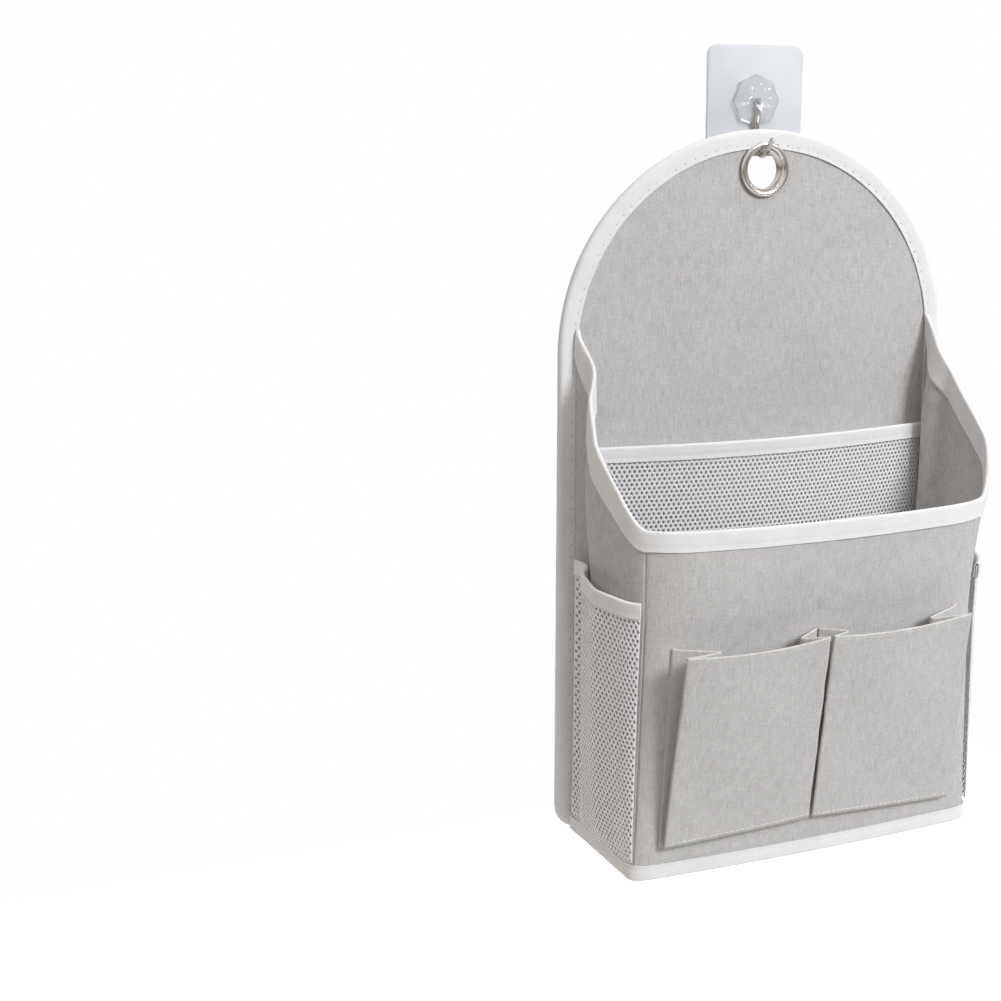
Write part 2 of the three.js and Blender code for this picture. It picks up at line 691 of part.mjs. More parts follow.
function eyeletWasher() {
  const inner = eyeletHoleRadius + eyeletBarrelWall + seamGap;
  const back = washerFront + eyeletWasherThickness;
  const chamfer = eyeletWasherThickness / 2;
  const profile = [
    [inner, washerFront], [eyeletOuterRadius, washerFront], [eyeletOuterRadius, back - chamfer],
    [eyeletOuterRadius - chamfer, back], [inner, back], [inner, washerFront],
  ].map(([x, y]) => new THREE.Vector2(x, y));
  return outward(new THREE.LatheGeometry(profile, eyeletSegments));
}

// Hook: glue pad, plate, lobed boss and bent wire
const plateBack = -(padThickness + seamGap);
const plateFront = plateBack - plateThickness;
const bossBack = plateFront - seamGap;
const ringMiddle = -wallGap + (ringFront + ringBack) / 2;
const wireBackLeg = ringMiddle + wireBendRadius;

// The ring sits down in the wire's bend, as low as its profile goes
const wireBendReach = wireBendRadius - wireRadius - seamGap;
const wireBendHeight = Math.min(...ringProfile().map((p) => {
  const off = p.y - wallGap - ringMiddle;
  return eyeletHeight - hangDrop + p.x + Math.sqrt(Math.max(wireBendReach ** 2 - off ** 2, 0));
}));

function roundedSquare(size, radius, back, thickness) {
  const half = size / 2;
  const shape = new THREE.Shape();
  shape.absarc(half - radius, half - radius, radius, 0, Math.PI / 2);
  shape.absarc(radius - half, half - radius, radius, Math.PI / 2, Math.PI);
  shape.absarc(radius - half, radius - half, radius, Math.PI, 1.5 * Math.PI);
  shape.absarc(half - radius, radius - half, radius, 1.5 * Math.PI, 2 * Math.PI);
  const settings = { depth: thickness, bevelEnabled: false, curveSegments: 6 };
  const geometry = new THREE.ExtrudeGeometry(shape, settings);
  geometry.rotateX(Math.PI / 2);
  geometry.translate(0, back, 0);
  return outward(geometry);
}

const bossRingShares = [[1, 0], [1, 0.3], [0.93, 0.62], [0.72, 0.88], [0.4, 1]];
const bossPointsPerLobe = 6;
const channelSides = 16;
function hookBoss() {
  const count = bossLobes * bossPointsPerLobe;
  const rings = bossRingShares.map(([wide, high]) => Array.from({ length: count }, (_, i) => {
    const angle = (2 * Math.PI * i) / count;
    const radius = (bossRadius + bossLobeHeight * Math.cos(bossLobes * angle)) * wide;
    const front = bossBack - bossDepth * high;
    return new THREE.Vector3(radius * Math.sin(angle), front, radius * Math.cos(angle));
  }));
  const bore = wireRadius + seamGap;
  const length = wireTopHeight + wireChannelTop + 2 * bossRadius;
  const channel = new THREE.CylinderGeometry(bore, bore, length, channelSides);
  channel.rotateX(Math.PI / 2);
  channel.translate(0, wireBackLeg, wireTopHeight + wireChannelTop / 2 - bossRadius);
  return cutAway(loftSolid(rings), channel);
}

const wireSides = 10;
const wireSteps = 38;
const wireBendSteps = 14;
function hookWire() {
  const lean = THREE.MathUtils.degToRad(wireLegLean);
  const sweep = Math.PI - lean;
  const points = [];
  const down = wireTopHeight - wireBendHeight;
  for (const share of [0, 0.25, 0.5, 0.75]) {
    points.push(new THREE.Vector3(0, wireBackLeg, wireTopHeight - share * down));
  }
  for (let k = 0; k <= wireBendSteps; k += 1) {
    const angle = sweep * (k / wireBendSteps);
    points.push(new THREE.Vector3(
      0, ringMiddle + wireBendRadius * Math.cos(angle), wireBendHeight - wireBendRadius * Math.sin(angle),
    ));
  }
  const last = points.at(-1);
  for (const share of [0.33, 0.66, 1]) {
    const run = share * wireLegLength;
    points.push(new THREE.Vector3(0, last.y - run * Math.sin(lean), last.z + run * Math.cos(lean)));
  }
  const section = new THREE.Shape();
  for (let k = 0; k < wireSides; k += 1) {
    const angle = (2 * Math.PI * k) / wireSides;
    const corner = [wireRadius * Math.cos(angle), wireRadius * Math.sin(angle)];
    if (k === 0) section.moveTo(...corner);
    else section.lineTo(...corner);
  }
  section.closePath();
  const path = new THREE.CatmullRomCurve3(points);
  const settings = { steps: wireSteps, extrudePath: path, bevelEnabled: false };
  return outward(new THREE.ExtrudeGeometry(section, settings));
}

function piece(name, geometry, material) {
  const mesh = new THREE.Mesh(geometry, material);
  mesh.name = name;
  return mesh;
}

// The hook stays on the wall
const hook = new THREE.Group();
const hookPad = roundedSquare(plateSize, plateCornerRadius, 0, padThickness);
const hookPlate = roundedSquare(plateSize, plateCornerRadius, plateBack, plateThickness);
hook.add(
  piece('wall_pad', hookPad, materials.glue),
  piece('hook_plate', hookPlate, materials.clear),
  piece('hook_boss', hookBoss(), materials.clear),
  piece('hook_wire', hookWire(), materials.steel),
);

// Everything that hangs on it, drawn from the foot of the back panel's front face
const caddy = new THREE.Group();
caddy.position.set(0, -wallGap, -hangDrop);

const ring = piece('eyelet_ring', eyeletRing(), materials.nickel);
const washer = piece('eyelet_washer', eyeletWasher(), materials.nickel);
ring.position.z = eyeletHeight;
washer.position.z = eyeletHeight;
caddy.add(ring, washer);

const boardFront = clothThickness + seamGap;
const liningFront = boardFront + boardThickness + seamGap;
const bottomBoardHeight = baseHeight + clothThickness + seamGap;
caddy.add(
  piece('back_panel_cloth', backLayer(0, clothThickness), materials.cloth),
  piece('back_board', backLayer(boardFront, boardThickness), materials.board),
  piece('back_lining', backLayer(liningFront, liningThickness), materials.lining),
  piece('edge_binding', edgeBinding(), materials.tape),
);

caddy.add(
  piece('left_side_panel', wallPanel(leftStations, 0, seamGap / 2), materials.cloth),
  piece('front_panel', wallPanel(frontStations, seamGap / 2, seamGap / 2), materials.cloth),
  piece('right_side_panel', wallPanel(rightStations, seamGap / 2, 0), materials.cloth),
  piece('mouth_binding', mouthBinding(), materials.tape),
  piece('bottom_binding', bottomBinding(), materials.tape),
  piece('bottom_panel', basePlate(clothThickness + seamGap, baseHeight, clothThickness), materials.cloth),
  piece('bottom_board', basePlate(bottomBoardInset, bottomBoardHeight, boardThickness), materials.board),
);

const innerNetDrop = innerNetHeight - innerNetStart;
caddy.add(
  piece('inner_pocket_net', netSolid(innerNetColumns, innerNetRows,
    (s, t, n) => innerNetPoint(s, (1 - t) * innerNetDrop, n)), materials.net),
  piece('inner_pocket_binding', netTape(innerNetColumns, innerTapeWidth, innerNetPoint), materials.tape),
);
for (const [name, side] of [['left', -1], ['right', 1]]) {
  const net = netSolid(sideNetColumns, sideNetRows,
    (s, t, n) => sideNetPoint(side, s, lerp(sideNetBottom + seamGap, sideNetTop(s), t), n));
  const tape = netTape(sideNetColumns, sideTapeWidth,
    (s, drop, n) => sideNetPoint(side, s, sideNetTop(s) - drop, n));
  caddy.add(
    piece(`${name}_pocket_net`, net, materials.net),
    piece(`${name}_pocket_binding`, tape, materials.tape),
  );
}

const outerPleat = (sewn) => ({ sewn, depth: outerPleatDepth, inset: outerCornerInset });
const centrePleat = (way) => ({
  sewn: (way * pocketSewGap) / 2 - pocketSewMiddle,
  depth: centrePleatDepth,
  inset: centreCornerInset,
});
const leftPocket = pleatedPocket(outerPleat(-pocketSewLeft), centrePleat(-1));
const rightPocket = pleatedPocket(centrePleat(1), outerPleat(pocketSewRight));
caddy.add(
  piece('front_pocket_left', leftPocket, materials.cloth),
  piece('front_pocket_right', rightPocket, materials.cloth),
);

const part = new THREE.Group();
part.add(hook, caddy);
export default part;
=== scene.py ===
# A grey cloth caddy with white tape and net pockets, hung on a clear stick-on hook.
# Sizes are in millimetres until a mesh is made. Cloth pieces are drawn in the caddy's own frame:
# x to the right, y into the wall, z up, from the foot of the back panel's front face.
import math

import bpy
import numpy as np
from mathutils import Matrix, Vector
from mathutils.geometry import delaunay_2d_cdt


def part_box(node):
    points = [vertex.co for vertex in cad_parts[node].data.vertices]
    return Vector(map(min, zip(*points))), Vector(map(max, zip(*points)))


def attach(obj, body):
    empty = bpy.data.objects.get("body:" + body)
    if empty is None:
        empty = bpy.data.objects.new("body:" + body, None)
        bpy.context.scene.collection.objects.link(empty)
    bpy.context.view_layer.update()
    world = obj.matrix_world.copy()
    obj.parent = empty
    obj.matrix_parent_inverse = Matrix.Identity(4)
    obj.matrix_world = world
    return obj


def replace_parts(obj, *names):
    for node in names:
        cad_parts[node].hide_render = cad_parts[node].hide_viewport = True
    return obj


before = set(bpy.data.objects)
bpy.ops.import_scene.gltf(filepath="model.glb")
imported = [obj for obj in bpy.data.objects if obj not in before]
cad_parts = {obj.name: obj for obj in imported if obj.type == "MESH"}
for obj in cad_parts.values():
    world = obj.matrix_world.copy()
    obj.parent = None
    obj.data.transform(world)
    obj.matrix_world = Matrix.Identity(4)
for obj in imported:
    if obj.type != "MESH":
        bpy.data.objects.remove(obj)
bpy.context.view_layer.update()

MM = 0.001
TAU = 2 * math.pi


def cad_size(node):
    """A node's lowest and highest corners in millimetres, as two arrays."""
    low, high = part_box(node)
    return np.array(low) / MM, np.array(high) / MM


# Thicknesses of sheets, and the gap between sewn pieces
CLOTH = 0.8
BOARD_CORE = 1.4
LINER = 0.6
TAPE = 0.6
NET = 0.5
NET_EDGE = 0.8
GAP = 0.3
PANEL = CLOTH + BOARD_CORE + LINER + 2 * GAP

# Back panel, over its binding
EDGE_LOW, EDGE_HIGH = cad_size("edge_binding")
HANG_DROP = -EDGE_LOW[2]
WALL_GAP = -cad_size("back_panel_cloth")[0][1]
PANEL_HEIGHT = EDGE_HIGH[2] - EDGE_LOW[2]
FOOT_WIDTH = EDGE_HIGH[0] - EDGE_LOW[0]
SHOULDER_WIDTH = 248
SHOULDER_HEIGHT = 282
FOOT_RADIUS = 15
CLOTH_RIPPLE, LINING_RIPPLE = 0.15, 0.1
RIPPLE_ACROSS, RIPPLE_UP = 31, 47
PANEL_GRID, EDGE_STEP = 4, 1.5
SIDE_CLEAR, FOOT_CLEAR, HOLE_CLEAR = 2.5, 2, 2
EDGE_TAPE = 10.5
EDGE_CREST = PANEL / 2 + GAP + TAPE

# Box
MOUTH_WIDTH = 214
MOUTH_SHIFT = 4
MOUTH_FLARE, FLARE_DEPTH = 6, 88
MOUTH_DEPTH = 73
MOUTH_HEIGHT = 196.6
MOUTH_FRONT_TURN, MOUTH_SIDE_TURN = 32, 20
MOUTH_SAG = 2
BASE_WIDTH = 220
BASE_DEPTH = 71
BASE_FRONT_TURN, BASE_SIDE_TURN = 12, 5
FRONT_BOW = 3
SEAM_OVER_TAPE = 1
RIM_BACK = 296.6
RIM_FALL_LEFT, RIM_FALL_RIGHT = 1.35, 1.16
RIM_SLOPE_SPAN = 12
MOUTH_TAPE = 11
BASE_TAPE = 9
BASE_TAPE_STITCH = 7
TAPE_STEP = 1.6
WALL_STEP = 2.4
NEAR_SEAM = (-2.4, -1.6, -1, -0.6, -0.3, 0, 0.3, 0.6, 1, 1.6, 2.4)
SEAM_GROOVE, SEAM_GROOVE_WIDTH = 0.6, 0.7
WALL_SOFTNESS = 0.8
SOFT_ACROSS, SOFT_UP, SLANT_ACROSS, SLANT_UP = 23, 37, 41, 53
SOFT_FOOT, SOFT_RIM = 30, 40
BASE_TAPE_LEG, BASE_TAPE_LEVEL = 7.4, 3
BOTTOM_FRONT_EASE, BOTTOM_BACK_EASE, BOTTOM_LEVEL = 0.3, 0.1, 0.5
BASE_HEIGHT = GAP + TAPE
BOX_BACK = -(GAP + TAPE + GAP)
MOUTH_HALF = MOUTH_WIDTH / 2
WALL_RUN = MOUTH_HALF + MOUTH_DEPTH

# Folds of the side walls, with their places as shares of the walls' depth
FOLD_LEFT, FOLD_RIGHT = 10, 13.9
FOLD_START, FOLD_FULL = 128, 215
FOLD_PEAK_LEFT, FOLD_PEAK_RIGHT = 0.53, 0.36
FOLD_ROUND_LEFT, FOLD_ROUND_RIGHT = 0.03, 0.07
FOLD_TOP = 0.55
CREASE_LEFT, CREASE_RIGHT = 8.5, 10
CREASE_FULL = 150
CREASE_START = 0.7
CREASE_EASE_LOW, CREASE_EASE_HIGH, CREASE_EASE_RIGHT = 245, 290, 0.85

# Nets
INNER_NET_TOP, INNER_NET_FOOT = 230.4, 3.4
INNER_NET_BULGE = 14
INNER_NET_GAP = 2.2
INNER_NET_LEVEL = 150
INNER_TAPE = 9
SIDE_NET_FRONT, SIDE_NET_BACK, SIDE_NET_FALL = 157.6, 166.9, 1.5
SIDE_NET_LEFT, SIDE_NET_RIGHT, SIDE_NET_CREASE = 9.4, 11.5, 5.4
SIDE_NET_PEAK, SIDE_NET_ROUND = 0.44, 0.09
SIDE_NET_BOTTOM = BASE_HEIGHT + BASE_TAPE
SIDE_TAPE = 8.5
SIDE_NET_SEAM = 3
NET_STAND = 2 * GAP + TAPE + NET_EDGE / 2
NET_UNDER_TAPE = 1
NET_PITCH = 2.9
HOLE_WIDE, HOLE_TALL = 0.50, 0.60
NET_SEAM_GAP = 0.3

# Front pockets
POCKET_BOTTOM = 19.5
POCKET_LEFT_TOP, POCKET_RIGHT_TOP = 134, 138
POCKET_SEW_LEFT, POCKET_SEW_MIDDLE, POCKET_SEW_RIGHT, POCKET_SEW_GAP = -91, -3.4, 89, 0.9
POCKET_LEAN, LEAN_MIDDLE = 3.5, 0.55
POCKET_STAND = 16
POCKET_RISE = 4.2
POCKET_SAG = 2.8
OUTER_PLEAT, CENTRE_PLEAT = 23, 14
LEFT_INSET, RIGHT_INSET, CENTRE_INSET, CENTRE_FOLD_INSET = 0.2, 2.3, -0.2, -1.0
FOOT_INSET = 0.2
PLEAT_TURN, PLEAT_ROUND, FRONT_ROUND = 0.65, 1.2, 25
SOFT_FOLD, CENTRE_FOLD, SHARP_FOLD = 4.5, 1.4, 0.8
# The first is the height of the paler band along each pocket's top, a painted highlight on the folded edge;
# the second is how far below the top the hem stitches run
HEM_BAND, HEM_LINE = 0.9, 2.0
BOTTOM_LINE = 2.4

# Stitches, and how they draw the tape in. Each wave is a height, a length and a start.
EDGE_STITCH_PITCH, TAPE_STITCH_PITCH = 7.0, 7.5
STITCH_INSET = 3.2
# Size of the dark dots that paint the shade in the tape's needle holes, and how far they sink into the tape
HOLE_SHADE_LONG, HOLE_SHADE_WIDE, HOLE_SHADE_SINK = 0.85, 0.6, 0.26
PUCKER, BASE_PUCKER = 0.28, 0.3
PUCKER_REACH, PUCKER_BETWEEN = 0.9, 0.45
TAPE_WAVES = ((0.10, 61, 1.3), (0.07, 23.7, 0.4))
TOPSTITCH_PITCH, TOPSTITCH, TOPSTITCH_WIDE = 3.1, 2.3, 0.42
HEM_STITCH, HEM_STITCH_WIDE = 0.92 * TOPSTITCH_PITCH, 0.26
STITCH_END = 0.5

# Eyelet and hook
EYELET_HEIGHT = 382
EYELET_HOLE = 10.5
EYELET_OUTER = 15
CLOTH_HOLE = EYELET_HOLE + 1.2
EYELET_SIDES = 96
BARREL_WALL, WASHER_WALL, RIM_EDGE = 0.5, 0.8, 0.3
PLATE_CORNER, PLATE_BEVEL, PAD_BEVEL = 6, 0.3, 0.15
PETALS, PETAL, PETAL_RIDGE, BOSS_EASE = 8, 0.6, 0.55, 0.65
WIRE, WIRE_BEND, WIRE_LEAN, WIRE_TIP, TIP_DOME = 3, 7.6, 38, 6.2, 0.7

CADDY_AT = np.array((0, -WALL_GAP, -HANG_DROP))


def mix(a, b, t):
    return a + (b - a) * t


def smooth(t):
    t = np.clip(t, 0, 1)
    return t * t * (3 - 2 * t)


def bell(x, middle, width):
    return np.exp(-(((x - middle) / width) ** 2))


# Materials
WARMTH = 0.012


def principled(name, values):
    material = bpy.data.materials.new(name)
    material.use_nodes = True
    tree = material.node_tree
    shader = tree.nodes["Principled BSDF"]
    for key, value in values.items():
        shader.inputs[key].default_value = value
    return material, tree, shader


def node(tree, kind, **settings):
    made = tree.nodes.new(kind)
    for key, value in settings.items():
        if key in made.inputs:
            made.inputs[key].default_value = value
        else:
            setattr(made, key, value)
    return made


def noise(tree, scale, source="cloth", detail=2.0, rough=0.5):
    """Noise over the cloth's own flat coordinates, or over the object's, times a scale."""
    if source == "cloth":
        start = node(tree, "ShaderNodeAttribute", attribute_name="cloth").outputs["Vector"]
    else:
        start = node(tree, "ShaderNodeTexCoord").outputs["Object"]
    mapping = node(tree, "ShaderNodeMapping", Scale=scale)
    tree.links.new(start, mapping.inputs["Vector"])
    made = node(tree, "ShaderNodeTexNoise", Scale=1.0, Detail=detail, Roughness=rough)
    tree.links.new(mapping.outputs["Vector"], made.inputs["Vector"])
    return made.outputs["Fac"]


def ramp(tree, value, stops):
    made = node(tree, "ShaderNodeValToRGB")
    points = made.color_ramp.elements
    while len(points) < len(stops):
        points.new(0.5)
    for point, (place, colour) in zip(points, stops):
        point.position = place
        point.color = (*colour, 1)
    tree.links.new(value, made.inputs["Fac"])
    return made.outputs["Color"]


def add_values(tree, terms):
    """The sum of values, each times its weight."""
    total = None
    for value, weight in terms:
        made = node(tree, "ShaderNodeMath", operation="MULTIPLY_ADD")
        made.inputs[1].default_value = weight
        made.inputs[2].default_value = 0
        tree.links.new(value, made.inputs[0])
        if total is not None:
            tree.links.new(total, made.inputs[2])
        total = made.outputs[0]
    return total


def surface_of(tree, shader, colour, height, distance, strength):
    """Gives a material its colour, and bumps its surface by a height."""
    tree.links.new(colour, shader.inputs["Base Color"])
    made = node(tree, "ShaderNodeBump", Strength=strength, Distance=distance)
    tree.links.new(height, made.inputs["Height"])
    tree.links.new(made.outputs["Normal"], shader.inputs["Normal"])


def grey(level):
    return (level * (1 + WARMTH), level, level * (1 - WARMTH))


def linen(name, dark, light):
    """Heathered linen: upright slubs, fine flecks, and a slow drift of tone."""
    material, tree, shader = principled(name, {"Roughness": 0.92, "Specular IOR Level": 0.15,
                                               "Sheen Weight": 0.15, "Sheen Roughness": 0.6})
    slubs = noise(tree, (1500, 110, 1), detail=3, rough=0.6)
    cross = noise(tree, (180, 1300, 1))
    flecks = noise(tree, (900, 700, 1), rough=0.6)
    mottle = noise(tree, (230, 130, 1), detail=4, rough=0.65)
    drift = noise(tree, (22, 14, 1))
    tone = add_values(tree, [(slubs, 0.30), (cross, 0.14), (flecks, 0.24), (mottle, 0.20), (drift, 0.12)])
    stops = [(0.36, grey(dark)), (0.5, grey(mix(dark, light, 0.55))), (0.64, grey(light))]
    specks = noise(tree, (620, 520, 1), detail=1)
    product = node(tree, "ShaderNodeMix", data_type="RGBA", blend_type="MULTIPLY")
    product.inputs[0].default_value = 1
    tree.links.new(ramp(tree, tone, stops), product.inputs[6])
    tree.links.new(ramp(tree, specks, [(0.70, (1, 1, 1)), (0.78, (1.25, 1.25, 1.25))]), product.inputs[7])
    relief = add_values(tree, [(slubs, 0.6), (cross, 0.5), (flecks, 0.4)])
    surface_of(tree, shader, product.outputs[2], relief, 0.0003, 0.7)
    return material


def tape_material(name, level):
    material, tree, shader = principled(name, {"Roughness": 0.8, "Specular IOR Level": 0.25,
                                               "Sheen Weight": 0.2})
    ribs = noise(tree, (300, 2600, 1))
    soft = noise(tree, (60, 60, 1))
    stops = [(0.35, (level * 0.93, level * 0.935, level * 0.95)), (0.6, (level, level, level * 1.01))]
    colour = ramp(tree, add_values(tree, [(ribs, 0.5), (soft, 0.5)]), stops)
    surface_of(tree, shader, colour, add_values(tree, [(ribs, 0.5), (soft, 1.0)]), 0.0004, 0.6)
    return material


def net_material(name):
    """White yarn that lets a little light through."""
    material, tree, shader = principled(name, {"Roughness": 0.55, "Specular IOR Level": 0.4,
                                               "Subsurface Weight": 0.3, "Subsurface Radius": (1, 1, 1),
                                               "Subsurface Scale": 0.0008})
    yarn = noise(tree, (1400, 1400, 1))
    colour = ramp(tree, yarn, [(0.3, (0.74, 0.74, 0.76)), (0.65, (0.86, 0.86, 0.88))])
    surface_of(tree, shader, colour, yarn, 0.0002, 0.6)
    return material


def hard_material(name, values, stops, grain, relief, distance, strength):
    """A hard surface. The grain of its colour and of its relief are each a scale and a detail."""
    material, tree, shader = principled(name, values)
    tint, height = (noise(tree, (scale,) * 3, "object", detail) for scale, detail in (grain, relief))
    surface_of(tree, shader, ramp(tree, tint, stops), height, distance, strength)
    return material


def metal(name, colour, roughness):
    values = {"Roughness": roughness, "Metallic": 1.0}
    stops = [(0.3, tuple(0.93 * c for c in colour)), (0.7, colour)]
    return hard_material(name, values, stops, (400, 3), (900, 2), 0.00003, 0.3)


def clear_plastic(name, colour, alpha, roughness, through=0.0):
    values = {"Roughness": roughness, "Alpha": alpha, "IOR": 1.49, "Transmission Weight": through}
    stops = [(0.3, tuple(0.96 * c for c in colour)), (0.7, colour)]
    return hard_material(name, values, stops, (60, 2), (35, 2), 0.0004, 0.25)


GREY_CLOTH = linen("grey_linen", 0.41, 0.655)
LINING = linen("grey_lining", 0.40, 0.58)
WHITE_TAPE = tape_material("binding_tape", 0.86)
# A paler linen for the band along each pocket's top: painted highlight where the folded hem catches the
# light. The hem stitches also take this colour.
PALE_HEM_HIGHLIGHT = linen("hem_painted_highlight", 0.56, 0.80)
THREAD = tape_material("sewing_thread", 0.86)
# Dark grey dots at the edge tape's needle holes: painted shade inside the holes
PAINTED_HOLE_SHADE = tape_material("painted_hole_shade", 0.40)
WHITE_NET = net_material("soft_net")
NICKEL = metal("bright_nickel", (0.84, 0.79, 0.75), 0.15)
STEEL = metal("polished_steel", (0.62, 0.60, 0.57), 0.2)
CLEAR = clear_plastic("plate_plastic", (0.78, 0.81, 0.845), 0.74, 0.5)
CLEAR_BOSS = clear_plastic("boss_plastic", (0.98, 0.99, 1.0), 0.62, 0.03, 0.95)
GLUE = clear_plastic("soft_glue", (0.80, 0.84, 0.87), 0.30, 0.35)
BOARD_STOPS = [(0.3, (0.55, 0.52, 0.47)), (0.7, (0.68, 0.65, 0.60))]
BOARD = hard_material("plain_board", {"Roughness": 0.7}, BOARD_STOPS, (500, 3), (500, 3), 0.0002, 0.5)


# Meshes
def in_scene(name, data):
    made = bpy.data.objects.new(name, data)
    bpy.context.collection.objects.link(made)
    return made


def piece(name, points, faces, material, body="bag", flat=None, sharp=None):
    """Makes a piece from points in millimetres. flat holds each point's place on the flat cloth."""
    mesh = bpy.data.meshes.new(name)
    points = np.asarray(points, float)
    at = 0 if body == "hook" else CADDY_AT
    mesh.from_pydata(((points + at) * MM).tolist(), [], [tuple(int(i) for i in f) for f in faces])
    if flat is not None:
        place = np.zeros((len(points), 3))
        place[:, :2] = np.asarray(flat) * MM
        layer = mesh.attributes.new("cloth", "FLOAT_VECTOR", "POINT")
        layer.data.foreach_set("vector", place.ravel())
    mesh.materials.append(material)
    mesh.validate()
    mesh.shade_smooth()
    if sharp:
        mesh.set_sharp_from_angle(angle=math.radians(sharp))
    made = in_scene(name, mesh)
    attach(made, body)
    return made


def grid_faces(rows, columns, wrap_rows=False, wrap_columns=False):
    """Quads over a grid of points stored row by row."""
    i = np.arange(rows if wrap_rows else rows - 1)
    j = np.arange(columns if wrap_columns else columns - 1)
    i, j = (a.ravel() for a in np.meshgrid(i, j, indexing="ij"))
    i1, j1 = (i + 1) % rows, (j + 1) % columns
    return np.stack([i * columns + j, i1 * columns + j, i1 * columns + j1, i * columns + j1], axis=1)


def tube_faces(rows, columns):
    """Quads round a tube of rings of points, with a face over each end."""
    ends = [list(range(columns))[::-1], [(rows - 1) * columns + c for c in range(columns)]]
    return grid_faces(rows, columns, wrap_columns=True).tolist() + ends


def grid_area(points):
    """The area of a grid of points, in square metres."""
    a, b = points[1:, :-1] - points[:-1, :-1], points[:-1, 1:] - points[:-1, :-1]
    return float(np.linalg.norm(np.cross(a, b), axis=2).sum()) * MM * MM


def run_along(path):
    """The length run at each point of a path."""
    return np.concatenate([[0], np.cumsum(np.linalg.norm(np.diff(path, axis=0), axis=1))])


def thicken(made, thickness):
    solid = made.modifiers.new("thickness", "SOLIDIFY")
    solid.thickness = thickness * MM
    solid.offset = 0
    solid.use_even_offset = False


def declare(made, size, area, replaced):
    """Hides the node that a sheet replaces. size and area are not used."""
    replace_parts(made, replaced)


def sheet_piece(name, points, flat, material, replaced):
    """A sheet of cloth over a grid of points, each with its place on the flat cloth."""
    flat = flat.reshape(-1, 2)
    made = piece(name, points.reshape(-1, 3), grid_faces(*points.shape[:2]), material, flat=flat)
    thicken(made, CLOTH)
    declare(made, np.ptp(flat, axis=0) * MM, grid_area(points), replaced)
    return made


def tape_outline(width, edge):
    """The closed outline of a folded tape's section: how far in from the edge, and off its middle."""
    inner, outer = edge / 2 + GAP, edge / 2 + GAP + TAPE
    leg = width - outer
    turn = np.linspace(0, math.pi, 9)
    runs = np.linspace(leg, 0, 9)[:-1]
    over = [(r, outer) for r in runs] + [(-outer * math.sin(a), outer * math.cos(a)) for a in turn]
    over += [(r, -outer) for r in runs[::-1]]
    under = [(r, -inner) for r in runs] + [(-inner * math.sin(a), -inner * math.cos(a)) for a in turn]
    under += [(r, inner) for r in runs[::-1]]
    middle = (inner + outer) / 2
    return np.array(over + [(leg + TAPE / 3, -middle)] + under + [(leg + TAPE / 3, middle)])


def pucker(along, inset, stitch_at, pitch, depth):
    """How far stitches draw the tape in, at a length along it and a distance from its edge."""
    drawn = mix(PUCKER_BETWEEN, 1, (0.5 + 0.5 * np.cos(TAU * along / pitch)) ** 2)
    waves = sum(height * np.sin(TAU * along / length + start) for height, length, start in TAPE_WAVES)
    return -depth * bell(inset, stitch_at, PUCKER_REACH) * drawn + waves


def tape_piece(name, rings, outline, along, cut, replaced, closed=False):
    """A tape through rings of points. Its section's first cut points cross the cloth once."""
    points = np.array(rings)
    rows, columns = points.shape[:2]
    faces = grid_faces(rows, columns, True, True) if closed else tube_faces(rows, columns)
    across = run_along(np.vstack([outline, outline[:1]]))
    across = np.minimum(across, across[-1] - across)[:-1]
    flat = np.stack(np.broadcast_arrays(along[:, None], across[None, :]), axis=2)
    made = piece(name, points.reshape(-1, 3), faces, WHITE_TAPE, flat=flat.reshape(-1, 2), sharp=50)
    half = points[:, :cut]
    whole = np.concatenate([half, half[:1]]) if closed else half
    width = np.median(np.linalg.norm(np.diff(half, axis=1), axis=2).sum(axis=1))
    declare(made, (np.ptp(along) * MM, width * MM), grid_area(whole), replaced)


def sweep_tape(name, along, place, width, edge, pitch, replaced, closed=False):
    """Folded tape. place(k, inset, off) gives points for station k, along is each station's length."""
    outline = tape_outline(width, edge)
    inset, off = outline[:, 0], outline[:, 1]
    outer = (np.abs(off) > edge / 2 + GAP + TAPE / 3) | (inset < 0)
    rings = []
    for k, run in enumerate(along):
        drawn = pucker(run, inset, width - edge / 2 - STITCH_INSET, pitch, PUCKER)
        rings.append(place(k, inset, off + np.where(outer, np.sign(off) * drawn, 0)))
    tape_piece(name, rings, outline, along, len(outline) // 2, replaced, closed)


def stitches(name, places, directions, normals, length, width, material):
    """Short threads lying on the cloth, as one piece."""
    sides = 6
    profile = [(-0.5, 0.25), (-0.42, 0.7), (-0.2, 1.0), (0.2, 1.0), (0.42, 0.7), (0.5, 0.25)]
    points, faces = [], []
    angle = np.arange(sides) * TAU / sides
    thread = tube_faces(len(profile), sides)
    for p, d, n in zip(places, directions, normals):
        d = d / np.linalg.norm(d)
        n = n / np.linalg.norm(n)
        side = np.cross(d, n)
        faces += [[len(points) + k for k in face] for face in thread]
        for along, fat in profile:
            for a in angle:
                off = width / 2 * fat * (math.cos(a) * side + math.sin(a) * n)
                points.append(p + d * along * length + off)
    flat = np.array([(p[0], p[2]) for p in points])
    piece(name, points, faces, material, flat=flat)


# Back panel
def back_half(z, inset):
    """Half the panel's width at a height, with its edge drawn in by inset."""
    z = np.asarray(z, float)
    side = mix(FOOT_WIDTH, SHOULDER_WIDTH, np.clip(z / SHOULDER_HEIGHT, 0, 1)) / 2 - inset
    rise = PANEL_HEIGHT - SHOULDER_HEIGHT - inset
    arch = np.sqrt(np.clip(1 - ((z - SHOULDER_HEIGHT) / rise) ** 2, 0, 1))
    return np.where(z > SHOULDER_HEIGHT, side * arch, side)


